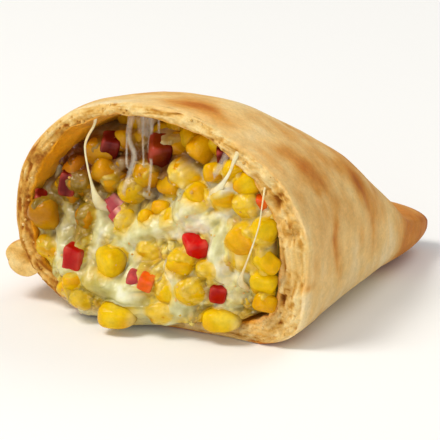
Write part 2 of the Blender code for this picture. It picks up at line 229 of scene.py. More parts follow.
def wall_ring(depth, angle, seam, fold, base, shoulder, crown):
    """One closed ring: four quarters of superellipses that meet at the crest, shoulders and base."""
    crest = seam + CREST_SHARE * (fold - seam)
    across, up = np.cos(angle), np.sin(angle)
    squared = smoothstep(SQUARED_SHARE, 0, depth / LENGTH)
    low_fold = np.interp(squared, (0, 1), LOW_FOLD_SQUARENESS)
    low_seam = np.interp(squared, (0, 1), LOW_SEAM_SQUARENESS)
    exponent = np.where(up >= 0, UPPER_SQUARENESS, np.where(across > 0, low_fold, low_seam))
    reach = np.where(across > 0, fold - crest, crest - seam)
    tall = np.where(up >= 0, crown - shoulder, shoulder - base)
    x = crest + reach * power(across, 2 / exponent)
    z = shoulder + tall * power(up, 2 / exponent)
    return x, z


def outer_wall(depth, angle):
    """Points of the outside of the case, flat where it rests, with the soft unevenness of dough."""
    depth, angle = np.broadcast_arrays(depth, angle)
    seam, fold = plan_edges(depth)
    base, shoulder, crown = height_lines(depth)
    x, z = wall_ring(depth, angle, seam, fold, base, shoulder, crown)
    points = np.stack([x, depth, z], axis=-1)
    middle = np.stack([0.5 * (seam + fold), depth, shoulder], axis=-1)
    outward = points - middle
    outward /= np.maximum(np.linalg.norm(outward, axis=-1, keepdims=True), 1)
    free = smoothstep(0, RESTING_BAND, z) * smoothstep(1, EVEN_TIP_SHARE, depth / LENGTH)
    swell = UNDULATION * ripple(points, UNDULATION_LENGTH, SEED) + skin_relief(points)
    points = points + outward * (swell * free)[..., None]
    points[..., 2] = np.maximum(points[..., 2], 0)
    return points


def inner_wall(depth, angle, inset=0):
    """Points of the inside of the case: the outside drawn in by the crust's thickness, closing on a
    rounded end.  inset draws it in further, for what lies inside."""
    depth, angle = np.broadcast_arrays(depth, angle)
    seam, fold = plan_edges(depth)
    base, shoulder, crown = height_lines(depth)
    seam = seam + SEAM_THICKNESS + inset
    fold = fold - FOLD_THICKNESS - inset
    crown = crown - ROOF_THICKNESS - inset
    floor = FLOOR_THICKNESS + inset
    end = HOLLOW_LENGTH - inset
    closing = falling(np.clip(depth / end, 0, 1), HOLLOW_FALL)
    x, z = wall_ring(depth, angle, seam, fold, floor - FLOOR_FLATTENING, shoulder, crown)
    z = np.maximum(z, floor)
    middle_x, middle_z = 0.5 * (seam + fold), 0.5 * (floor + crown)
    x = middle_x + (x - middle_x) * closing
    z = middle_z + (z - middle_z) * closing
    return np.stack([x, depth, z], axis=-1)


# Soft creases in the skin, where the dough gathered as it rose, each from one end to the other and how wide
CREASES = (
    ((34.3, 15, 22), (33.6, 19.5, 7.5), 1.3),
    ((28.9, 33, 31), (33, 33.5, 21), 1.6),
    ((33.6, 26, 22), (33.4, 27.5, 12), 1.1),
    ((14, 36, 39), (22, 41, 32), 1.8),
    ((-14, 27, 42), (-19, 33, 33), 2),
    ((-24, 12, 33), (-27, 20, 22), 1.7),
)
CREASE_DEPTH = 0.28
CREASE_END_SHARE = 0.08
CREASE_END_FALL = 4
# Dimples and grain of the skin: how deep, their size, seed and octaves
SKIN_NOISE = ((0.16, 6.5, 20, 2), (0.05, 1.7, 21))
WANDER = 1.3
WANDER_SIZE = 5


def cloudy(points, *layers):
    """Cloudy noise in layers: the sum of each one's amount times clouds of its size, seed and octaves."""
    return sum(amount * clouds(points, size, SEED + seed, *more) for amount, size, seed, *more in layers)


def wandering(points):
    """Places pushed about by cloudy noise, which makes straight lines and round patches ragged."""
    push = [clouds(points, WANDER_SIZE, SEED + 22 + axis) for axis in range(3)]
    return points + WANDER * np.stack(push, axis=-1)


def near_line(points, start, end, width):
    """How near points are to a straight line: 1 on it, falling off as a bell curve of that width, and
    fading towards both ends."""
    start, end = np.array(start), np.array(end)
    along = end - start
    share = np.clip((points - start) @ along / (along @ along), 0, 1)
    gap = np.linalg.norm(points - start - share[..., None] * along, axis=-1)
    from_end = np.minimum(share, 1 - share) + CREASE_END_SHARE
    return bell(gap, width) * np.minimum(1, CREASE_END_FALL * from_end)


def skin_relief(points):
    """The skin's own relief: cloudy dimples and grain, and the creases pressed in."""
    relief = cloudy(points, *SKIN_NOISE)
    ragged = wandering(points)
    for start, end, width in CREASES:
        relief = relief - CREASE_DEPTH * near_line(ragged, start, end, width)
    return relief


def in_scene(name, data):
    """A new object with that mesh, lamp or camera, in the scene."""
    made = bpy.data.objects.new(name, data)
    bpy.context.scene.collection.objects.link(made)
    return made


def mesh_piece(name, rings, tints, finishes, ring_finish=None):
    """A piece of closed tubes.  rings is an array of tubes, rings, points round and xyz in millimetres,
    and tints holds a linear colour for each point.  Quads join neighbouring rings, a fan closes each of
    a tube's two ends on their middle, and ring_finish gives the finish of each ring's quads."""
    tubes, count, sides, _ = rings.shape
    ends = rings[:, (0, -1)].mean(axis=2)
    end_tints = tints[:, (0, -1)].mean(axis=2)
    points = np.concatenate([rings.reshape(tubes, -1, 3), ends], axis=1)
    colours = np.concatenate([tints.reshape(tubes, -1, 3), end_tints], axis=1)
    side = np.arange(sides)
    right = (side + 1) % sides
    low = np.arange(count - 1)[:, None] * sides
    quads = np.stack([low + side, low + right, low + right + sides, low + side + sides], axis=-1)
    last = (count - 1) * sides
    first_fan = np.stack([np.full(sides, count * sides), right, side], axis=-1)
    last_fan = np.stack([np.full(sides, count * sides + 1), last + side, last + right], axis=-1)
    start = (np.arange(tubes) * points.shape[1])[:, None, None]
    quads = (quads.reshape(-1, 4) + start).reshape(-1, 4)
    fans = (np.concatenate([first_fan, last_fan]) + start).reshape(-1, 3)
    mesh = bpy.data.meshes.new(name)
    placed = (points.reshape(-1, 3) + CUT_IN_FRAME) * METRES
    mesh.from_pydata(placed, [], quads.tolist() + fans.tolist())
    for finish in finishes:
        mesh.materials.append(finish)
    if ring_finish is not None:
        by_quad = np.tile(np.repeat(ring_finish, sides), tubes)
        by_fan = np.tile(np.repeat([ring_finish[0], ring_finish[-1]], sides), tubes)
        mesh.polygons.foreach_set("material_index", np.concatenate([by_quad, by_fan]).astype(np.int32))
    tint = mesh.color_attributes.new("tint", "FLOAT_COLOR", "POINT")
    opaque = np.ones((tubes * points.shape[1], 1))
    rgba = np.concatenate([colours.reshape(-1, 3), opaque], axis=1)
    tint.data.foreach_set("color", rgba.astype(np.float32).ravel())
    mesh.shade_smooth()
    mesh.update()
    return in_scene(name, mesh)


# At the cut the dough makes a thick roll on the inside at the upper left, and thins out on the seam side
SWELL_ANGLE = math.radians(140)
SWELL_WIDTH = math.radians(35)
SWELL = 1.9
THIN_ANGLE = math.radians(188)
THIN_WIDTH = math.radians(40)
THINNING = 1.3
# The torn inner edge's slow wave and ragged one
TORN_NOISE = ((0.5, 13, 30), (0.5, 3.2, 31, 2))
TORN_DEPTH = 7
NOISE_CIRCLE = 30


def on_a_circle(angle, height):
    """Places on a circle, where noise meets itself after a full turn, and at a height along its axis."""
    x, y = NOISE_CIRCLE * np.cos(angle), NOISE_CIRCLE * np.sin(angle)
    return np.stack(np.broadcast_arrays(x, y, height), axis=-1)


def thinning(depth, angle):
    """How far the wall is thinner on the seam side near the cut: a bell curve of the angle, as a negative
    inset, fading inwards."""
    return -THINNING * bell(angle - THIN_ANGLE, THIN_WIDTH) * smoothstep(22, 8, depth)


def inner_edge_wobble(depth, angle):
    """How far the inside of the case strays from its true line near the cut: the torn edge's noise, the
    roll as a bell curve of the angle, and the thinner side, all fading inwards."""
    torn = cloudy(on_a_circle(angle, 0.25 * depth), *TORN_NOISE) * smoothstep(TORN_DEPTH, 0, depth)
    roll = SWELL * bell(angle - SWELL_ANGLE, SWELL_WIDTH)
    roll = roll * smoothstep(0.5, 5, depth) * smoothstep(25, 12, depth)
    return torn + roll + thinning(depth, angle)


FLAKE_LENGTH = 4.2
FLAKE_WIDTH = 0.7
FLAKE_RELIEF = 0.55
GRIT_SIZE = 0.75
GRIT_RELIEF = 0.26
PORE_SIZE = 0.7
PORE_DEPTH = 0.34
OUTER_ROUNDING = 1.3
FOLD_ROUNDING = 0.6
LEAST_ROUNDING = 0.3
INNER_ROUNDING = 1.1
RIM_BULGE = 0.35
PORE_PATCH_SIZE = 6
# The skin's finish and the lining's reach this many rings on to the rim
SKIN_ON_RIM = 7
LINING_ON_RIM = 1
# Places where the rim broke open: x and z, how wide along x and z, how deep
BREAKS = (
    (28, 32, 1.2, 2.3, 0.9),
    (29.2, 11.2, 0.55, 0.9, 1.5),
    (29.6, 18.6, 0.35, 2, 0.5),
    (31.4, 24.4, 0.4, 1.2, 0.5),
    (-33, 9.6, 0.6, 1.5, 0.6),
    (-31.2, 31, 0.5, 0.9, 0.6),
    (-22.6, 41.4, 0.9, 0.5, 0.6),
    (4, 47.6, 1.4, 0.35, 0.5),
)

case_angle = around(CASE_AROUND)[None, :]
outer_step = np.linspace(0, 1, OUTER_RINGS)[:-1, None]
outer_reach = LENGTH * LAST_RING_SHARE - OUTER_ROUNDING
outer_depth = OUTER_ROUNDING + outer_reach * np.sin(0.5 * math.pi * (1 - outer_step) ** TIP_CROWDING)
case_outer = outer_wall(outer_depth, case_angle)
rim_outer = outer_wall(np.full((1, 1), OUTER_ROUNDING), case_angle)
inner_depth = np.full((1, 1), INNER_ROUNDING)
rim_inner = inner_wall(inner_depth, case_angle, inner_edge_wobble(inner_depth, case_angle))
# Shares across the rim from its outer edge to its inner one, closer together at both
share = 0.5 - 0.5 * np.cos(math.pi * np.linspace(0, 1, RIM_RINGS))[:, None]
case_rim = mixed(rim_outer, rim_inner, share)
share = np.broadcast_to(share, case_rim.shape[:2])
rim_x, rim_z = case_rim[..., 0], case_rim[..., 2]
flat_rim = case_rim * (1, 0, 1)
rim_width = np.linalg.norm((rim_outer - rim_inner) * (1, 0, 1), axis=-1)
layered = on_a_circle(case_angle, share * rim_width * (FLAKE_LENGTH / FLAKE_WIDTH))
flakes = clouds(layered, FLAKE_LENGTH, SEED + 32, 2)
grit = clouds(flat_rim, GRIT_SIZE, SEED + 34, 2)
pores = smoothstep(0.5, 0.8, clouds(flat_rim, PORE_SIZE, SEED + 33))
pores = pores * smoothstep(-0.1, 0.4, clouds(flat_rim, PORE_PATCH_SIZE, SEED + 35))
breaks = np.zeros(share.shape)
for break_x, break_z, break_wide, break_tall, break_depth in BREAKS:
    aside = (rim_x - break_x) / break_wide + 0.4 * flakes
    above = (rim_z - break_z) / break_tall + 0.3 * grit
    breaks = np.maximum(breaks, break_depth * bell(np.hypot(aside, above), 1))


def edge_fall(distance, rounding):
    """How far a rounded edge falls back at a distance from it: a quarter circle of that radius."""
    reach = np.clip(1 - distance / rounding, 0, 1)
    return rounding * (1 - np.sqrt(1 - reach**2))


# The rim is crumbly, with flakes, grit, pores and breaks, rougher towards the fold and level at both edges
crumb = 0.7 * ripple(case_rim, CRUMB_LENGTH, SEED + 3) + 0.6 * ripple(case_rim, BREAK_LENGTH, SEED + 4)
relief = CUT_RELIEF * crumb + CUT_STANDOFF - RIM_BULGE * 4 * share * (1 - share)
relief = relief - FLAKE_RELIEF * np.abs(flakes) - GRIT_RELIEF * grit + PORE_DEPTH * pores + breaks
relief = relief * (1 + 0.5 * smoothstep(5, 28, rim_x))
relief = relief * smoothstep(0, 0.16, share) * smoothstep(1, 0.86, share)
rounding = OUTER_ROUNDING + (FOLD_ROUNDING - OUTER_ROUNDING) * smoothstep(10, 30, rim_x)
rounding = np.maximum(rounding * (1 + 0.4 * clouds(flat_rim, 5, SEED + 36, 2)), LEAST_ROUNDING)
case_rim[..., 1] = relief + edge_fall(share * rim_width, rounding)
case_rim[:1, :, 1] = OUTER_ROUNDING
case_rim[..., 1] += edge_fall((1 - share) * rim_width, INNER_ROUNDING)
lining_step = np.linspace(0, 1, LINING_RINGS + 1)[1:, None]
lining_reach = HOLLOW_LENGTH * LAST_LINING_SHARE - INNER_ROUNDING
lining_depth = INNER_ROUNDING + lining_reach * np.sin(0.5 * math.pi * lining_step)
case_lining = inner_wall(lining_depth, case_angle, inner_edge_wobble(lining_depth, case_angle))

# How brown the skin is: 0 is raw dough and 1 is scorched
BAKE_STOPS = (0, 0.25, 0.45, 0.65, 0.82, 1)
BAKE_CODES = ("#fee9b6", "#f8ce84", "#e7a54c", "#d07c26", "#a8520c", "#6a3208")
# Browned patches, each with its middle, its reach along x, y and z, and how brown it is; the last is painted
# shade high on the fold side
PATCHES = (
    ((6.5, 7.5, 47.5), (7.4, 3.8, 9), 0.21),
    ((24.6, 38, 30.5), (4.5, 4.5, 6), 0.26),
    ((30.5, 31.5, 28.6), (4, 3.8, 6), 0.30),
    ((33, 36.5, 20.5), (5, 5, 5), 0.08),
    ((25.9, 13, 38), (4.5, 4, 4.5), 0.15),
    ((20, 27, 41), (6, 7, 5), 0.18),
    ((30, 15, 33.5), (4, 5, 4), 0.14),
    ((34.2, 15.1, 21.5), (5, 1.5, 3.6), 0.20),
    ((34.4, 16.2, 14), (5, 1.6, 4), 0.12),
    ((34.9, 2.6, 15), (3, 1.5, 2), 0.22),
    ((-12, 24, 42), (10, 8, 8), 0.22),
    ((-26, 20, 27), (8, 9, 6), 0.25),
    ((4, 44, 27), (9, 7, 8), 0.24),
    ((20, 7, 46), (7, 6, 7), -0.08),
    # Painted shade where the upper fold turns away from the light.
    ((27, 21, 38.5), (7, 10, 6), 0.10),
)
RAW_BROWN = 0.25
TRAY_BROWN = 0.66
# The skin's mottling: how much each cloud browns it, its size, seed and octaves
MOTTLING = ((0.17, 21, 40, 2), (0.15, 8, 47, 2), (0.08, 3, 41, 2))
# Fine streaks, drawn out across the case and up its sides
STREAKS = (0.11, 1.9, 48, 2)
STREAK_STRETCH = (0.35, 1, 0.35)
# Towards the tip and at its very end: how much browner, between which depths, and how ragged that edge is
TIP_BROWN = ((0.42, (44, 62), (2.5, 6, 49, 2)), (0.4, (69.5, 74), (1.2, 2.4, 55)))
# Down the fold, low on the fold and at the cut's edge: how much browner, and the limits along x, depth and z
BROWN_ZONES = (
    (0.10, (20, 34), None, (48, 38)),
    (-0.15, (18, 28), None, (24, 6)),
    (-0.12, None, (4.5, 0.5), None),
)


def bake(points):
    """The brownness of the skin: cloudy, darker down the fold and towards the tip and in patches, with
    painted shade along the creases, paler at the cut's edge and low on the side, and brown where it lay on
    the tray."""
    x, depth, z = np.moveaxis(points, -1, 0)
    brown = RAW_BROWN + cloudy(points, *MOTTLING) + zoned(points, *BROWN_ZONES)
    brown = brown + cloudy(points * STREAK_STRETCH, STREAKS)
    brown = brown + 0.24 * smoothstep(-6, -30, x) * smoothstep(-0.3, 0.7, clouds(points, 17, SEED + 42))
    for amount, limits, edge in TIP_BROWN:
        brown = brown + amount * smoothstep(*limits, depth + cloudy(points, edge))
    ragged = wandering(points)
    mottle = 1.2 + cloudy(points, (0.54, 2.6, 43, 2))
    for middle, reach, amount in PATCHES:
        gap = (ragged + 0.8 * (ragged - points) - middle) / reach
        brown = brown + amount * mottle * bell(np.linalg.norm(gap, axis=-1), 1)
    # Painted shade along the creases.
    for start, end, width in CREASES:
        brown = brown + 0.13 * near_line(ragged, start, end, 1.5 * width)
    tray_brown = TRAY_BROWN + cloudy(points, (0.22, 9, 44, 3))
    tray = smoothstep(1.6, 0.15, z)
    return np.clip(brown * (1 - tray) + tray_brown * tray, 0, 1)


CRUMB_CODES = ("#a05c18", "#d69e44", "#efc576", "#fbdf9e")
CRUMB_STOPS = (0, 0.3, 0.6, 1)
LINING_CODES = ("#f49608", "#ffae1c", "#ffc440")
# The crumb is darker down the left of the rim and at its lower right: how much, and the limits along x and z
CRUMB_ZONES = ((-0.42, (0, -28), None, (46, 34)), (-0.04, (10, 20), None, (8, 2)))

# Flakes and grit are paler, pores and breaks darker with painted shade in their hollows, and the lining is
# paler close to the rim
crumb_share = 0.6 + 0.55 * flakes + 0.25 * grit - 0.35 * pores - 0.7 * np.minimum(breaks, 1)
crumb_share = crumb_share + cloudy(case_rim, (0.3, 2.4, 45, 2)) + zoned(case_rim, *CRUMB_ZONES)
lining_share = 0.45 + cloudy(case_lining, (0.35, 7, 46, 2)) + 0.3 * smoothstep(2.5, 0, lining_depth)
near_rim = smoothstep(4, 1, lining_depth + cloudy(case_lining, (0.9, 2.6, 56)))
near_rim = near_rim * smoothstep(-25, -15, case_lining[..., 0])
lining_tint = stained(tinted(lining_share, LINING_CODES), ("#fbe0a6", 0.7 * near_rim))
skin_edge = smoothstep(0.02, 0.14, share + 0.2 * flakes + 0.05 * grit)
lining_edge = smoothstep(0.82, 1, share + 0.06 * flakes)
rim_tint = tinted(bake(case_rim), BAKE_CODES, BAKE_STOPS)
rim_tint = mixed(rim_tint, tinted(crumb_share, CRUMB_CODES, CRUMB_STOPS), skin_edge)
rim_tint = mixed(rim_tint, lining_tint[:1], lining_edge)
outer_tint = tinted(bake(case_outer), BAKE_CODES, BAKE_STOPS)


def node(tree, kind, settings=None, links=None, **values):
    """Adds one node: settings are its own properties, values its inputs and links the sockets that feed
    them, each under the input's name with underscores for spaces, or _ and its number."""
    made = tree.nodes.new(kind)
    for name, value in (settings or {}).items():
        setattr(made, name, value)
    for name, value in values.items():
        made.inputs[int(name[1:]) if name[0] == "_" else name.replace("_", " ")].default_value = value
    for name, source in (links or {}).items():
        tree.links.new(source, made.inputs[int(name[1:]) if name[0] == "_" else name.replace("_", " ")])
    return made


# Noise is darkest up to the first of these levels and leaves the tint as it is from the second
TONE_LEVELS = (0.3, 0.7)
TONE_DETAIL = 3
BUMP_DETAIL = 4


def food_material(name, tones, bumps, **shader_values):
    """A moist or baked surface.  Its colour is the piece's own tint, darkened in places by noise, and its
    relief is noise too.  tones and bumps are lists of (size in mm, strength), coarse first."""
    material = bpy.data.materials.new(name)
    material.use_nodes = True
    tree = material.node_tree
    tree.nodes.clear()
    place = {"Vector": node(tree, "ShaderNodeTexCoord").outputs["Object"]}
    feeds = {"Base Color": node(tree, "ShaderNodeAttribute", {"attribute_name": "tint"}).outputs["Color"]}
    for size, strength in tones:
        noise = node(tree, "ShaderNodeTexNoise", None, place, Scale=1 / (size * METRES), Detail=TONE_DETAIL)
        tone = node(tree, "ShaderNodeValToRGB", None, {"Fac": noise.outputs["Fac"]})
        dark, light = tone.color_ramp.elements
        dark.position, light.position = TONE_LEVELS
        dark.color = (1 - strength, 1 - strength, 1 - strength, 1)
        blend = {"data_type": "RGBA", "blend_type": "MULTIPLY"}
        parts = {"_6": feeds["Base Color"], "_7": tone.outputs["Color"]}
        feeds["Base Color"] = node(tree, "ShaderNodeMix", blend, parts, _0=1).outputs[2]
    for size, height in bumps:
        noise = node(tree, "ShaderNodeTexNoise", None, place, Scale=1 / (size * METRES), Detail=BUMP_DETAIL)
        parts = {"Height": noise.outputs["Fac"]}
        if "Normal" in feeds:
            parts["Normal"] = feeds["Normal"]
        bump = node(tree, "ShaderNodeBump", None, parts, Strength=1, Distance=height * METRES)
        feeds["Normal"] = bump.outputs["Normal"]
    shader = node(tree, "ShaderNodeBsdfPrincipled", None, feeds, **shader_values)
    node(tree, "ShaderNodeOutputMaterial", None, {"Surface": shader.outputs["BSDF"]})
    return material


# Shortcrust skin, baked dry: a satin that is nearly matt, with fine grain and hair cracks
baked_skin = food_material(
    "shortcrust_baked_skin",
    tones=((4, 0.1), (1.3, 0.12), (0.5, 0.11)),
    bumps=((1.9, 0.2), (0.55, 0.09)),
    Roughness=0.6,
    IOR=1.45,
    Specular_IOR_Level=0.12,
    Subsurface_Weight=0.08,
    Subsurface_Radius=(0.0016, 0.0009, 0.0004),
)
# Shortcrust crumb, broken by the knife: matt, short and porous, with grains of flour and fat
broken_crumb = food_material(
    "shortcrust_broken_crumb",
    tones=((1.1, 0.12), (0.4, 0.16)),
    bumps=((0.8, 0.24), (0.3, 0.16)),
    Roughness=0.82,
    Specular_IOR_Level=0.15,
    IOR=1.4,
    Subsurface_Weight=0.08,
    Subsurface_Radius=(0.0008, 0.0005, 0.0003),
)
# The lining: dough that steamed against the filling, darkened and oiled by the cheese
steamed_lining = food_material(
    "shortcrust_steamed_lining",
    tones=((2.2, 0.18), (0.8, 0.1)),
    bumps=((1.8, 0.3),),
    Roughness=0.34,
    IOR=1.45,
    Subsurface_Weight=0.15,
    Subsurface_Radius=(0.002, 0.001, 0.0004),
)

case_rings = np.concatenate([case_outer, case_rim, case_lining])[None]
case_tints = np.concatenate([outer_tint, rim_tint, lining_tint])[None]
rim_rows = RIM_RINGS - 1 - SKIN_ON_RIM - LINING_ON_RIM
case_finish = np.repeat([0, 1, 2], [len(case_outer) + SKIN_ON_RIM, rim_rows, LINING_RINGS + LINING_ON_RIM])
finishes = [baked_skin, broken_crumb, steamed_lining]
case = mesh_piece("baked_crust", case_rings, case_tints, finishes, case_finish)
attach(case, "root")
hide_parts("pastry_case")

# The crimped seam
# The two edges of the dough, pressed together and turned over in pleats by a finger and thumb.  Each
# pleat lies slanted over the last.  The grooves carry painted shade and the crests are paler, and the outer
# edge bakes brown.
ROPE_RADIUS = 4.9
ROPE_END_RADIUS = 2.6
ROPE_FLATTENING = 0.84
ROPE_PITCH = 10.5
ROPE_GROOVE = 0.30
ROPE_HEIGHT = 9.5
ROPE_INSET = 1.2
ROPE_END_INSET = 3.6
ROPE_REACH = 0.9
ROPE_START = 0.3
ROPE_TAPER_FROM = 0.7
PLEAT_ROUNDNESS = 0.6
PLEAT_SLANT = 0.8
ROPE_UNEVENNESS = (0.035, 2.6, 50, 2)
ROPE_SIDES = 64
ROPE_STEPS_PER_PLEAT = 40
ROPE_END_RINGS = 16
ROPE_END_DOME = 0.3
ROPE_END_SHARES = (0.06, 0.98)
ROPE_END_GRIT = (-0.15, 1.1, 54, 2)
FOLD_LINE_TURNS = 0.2
FOLD_LINE_WIDTH = 0.07
FOLD_LINE_DEPTH = 0.25
# How brown the grooves are with painted shade, how much paler the crests, and how much browner the outer edge
# and the tip
GROOVE_SHADE_BROWN = 0.72
CREST_PALER = 0.42
OUTER_BROWNER = 0.16
TIP_BROWNER = 0.3
ROPE_MOTTLING = (0.12, 5, 51, 2)


def seam_path(count):
    """The rope's centre line in even steps, just inside the seam edge of the plan and down to the tip's
    height, with how far each point is from the cut."""
    depth = LENGTH * np.sin(np.linspace(0, 0.5 * math.pi * ROPE_REACH, 400))
    seam, _ = plan_edges(depth)
    share = depth / depth[-1]
    height = ROPE_HEIGHT + (TIP_HEIGHT - ROPE_HEIGHT) * share
    edge = np.stack([seam, depth, height], axis=-1)
    ahead = np.gradient(edge, axis=0)
    inward = np.cross(ahead, (0, 0, 1))
    inward /= np.linalg.norm(inward, axis=1, keepdims=True)
    inset = ROPE_INSET + (ROPE_END_INSET - ROPE_INSET) * smoothstep(ROPE_TAPER_FROM, 1, share)
    line = edge + inward * inset[:, None]
    run = np.concatenate([[0], np.cumsum(np.linalg.norm(np.diff(line, axis=0), axis=1))])
    even = np.linspace(ROPE_START, run[-1], count)
    return np.stack([np.interp(even, run, line[:, i]) for i in range(3)], axis=-1), even


rope_length = seam_path(2)[1][-1]
rope_line, rope_run = seam_path(int(rope_length / ROPE_PITCH * ROPE_STEPS_PER_PLEAT))
rope_ahead = np.gradient(rope_line, axis=0)
rope_up = np.array([0, 0, 1])
rope_out = np.cross(rope_up, rope_ahead)
rope_out /= np.linalg.norm(rope_out, axis=1, keepdims=True)
rope_turn = around(ROPE_SIDES)
rope_twist = rope_run[:, None] / ROPE_PITCH + rope_turn[None, :] / (2 * math.pi)
pleat_share = rope_twist - np.floor(rope_twist)
pleat = np.sin(math.pi * pleat_share**PLEAT_SLANT) ** PLEAT_ROUNDNESS
rope_taper = smoothstep(ROPE_TAPER_FROM, 1, rope_run / rope_run[-1])[:, None]
rope_radius = ROPE_RADIUS + (ROPE_END_RADIUS - ROPE_RADIUS) * rope_taper
rope_radius = rope_radius * (1 - ROPE_GROOVE + ROPE_GROOVE * pleat)
outwards = (rope_radius * np.cos(rope_turn))[..., None] * rope_out[:, None, :]
outwards = outwards + (ROPE_FLATTENING * rope_radius * np.sin(rope_turn))[..., None] * rope_up
rope_rings = rope_line[:, None, :] + outwards
rope_rings = rope_rings + outwards * cloudy(rope_rings, ROPE_UNEVENNESS)[..., None]
end_share = np.linspace(*ROPE_END_SHARES, ROPE_END_RINGS)[:, None]
end_middle = rope_rings[0].mean(axis=0)
rope_ends = end_middle + (rope_rings[0] - end_middle) * end_share[..., None]
fold_turn = rope_turn / (2 * math.pi) + FOLD_LINE_TURNS * end_share + cloudy(rope_ends, (0.06, 2, 53))
fold_line = bell((fold_turn - np.floor(fold_turn) - 0.5) * end_share, FOLD_LINE_WIDTH)
fold_line = fold_line * smoothstep(0, 0.4, end_share)
rope_ends[..., 1] += FOLD_LINE_DEPTH * fold_line - ROPE_END_DOME * np.sqrt(1 - end_share**2)
rope_ends[..., 1] += cloudy(rope_ends, ROPE_END_GRIT)
# Painted shade in the grooves between the pleats, paler on their crests.
rope_brown = GROOVE_SHADE_BROWN - CREST_PALER * pleat + cloudy(rope_rings, ROPE_MOTTLING)
rope_brown = rope_brown + OUTER_BROWNER * np.cos(rope_turn) + TIP_BROWNER * rope_taper
rope_tint = tinted(np.clip(rope_brown, 0, 0.9), BAKE_CODES, BAKE_STOPS)
end_tint = tinted(0.66 + cloudy(rope_ends, (0.25, 1.4, 52)) - 0.5 * fold_line, CRUMB_CODES, CRUMB_STOPS)
rope = mesh_piece(
    "crimped_seam",
    np.concatenate([rope_ends, rope_rings])[None],
    np.concatenate([end_tint, rope_tint])[None],
    [broken_crumb, baked_skin],
    np.repeat([0, 1], [ROPE_END_RINGS, len(rope_rings) - 1]),
)
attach(rope, "root")

# The sweet corn
# Whole kernels cut from the cob and cooked: rounded wedges, broad and dimpled at the crown and pale where
# they were cut off.  They lie every way in the cheese, and some are mashed or glazed over by it.
LIP_FRONT = -4.4
LIP_HEIGHT = 15
LIP_LEFT = -21
LIP_RIGHT = 11
FACE_DEPTH = 1.2
FACE_SLOPE = 0.17
SIDE_TILT = 0.10
FRONT_RIPPLE = 0.9
FRONT_RIPPLE_LENGTH = 11
POCKET_X = -4
POCKET_Z = 43
POCKET_WIDTH = 40
POCKET_DROP = 9
POCKET_DEPTH = 16

KERNEL_LENGTH = 8.6
KERNEL_WIDTH = 7.2
KERNEL_THICKNESS = 5.4
KERNEL_SQUARENESS = 0.6
# How blunt the crown and the root are, and how much narrower the root is
KERNEL_BLUNTNESS = (3.4, 3)
KERNEL_NARROWING = 0.22
KERNEL_DIMPLE = 0.12
# Wrinkles of the kernels' skins: how high for their size, how far apart, and the seeds
KERNEL_WRINKLES = ((0.09, 3.6, 60), (0.035, 1.2, 66))
KERNEL_RINGS = 22
KERNEL_SIDES = 24

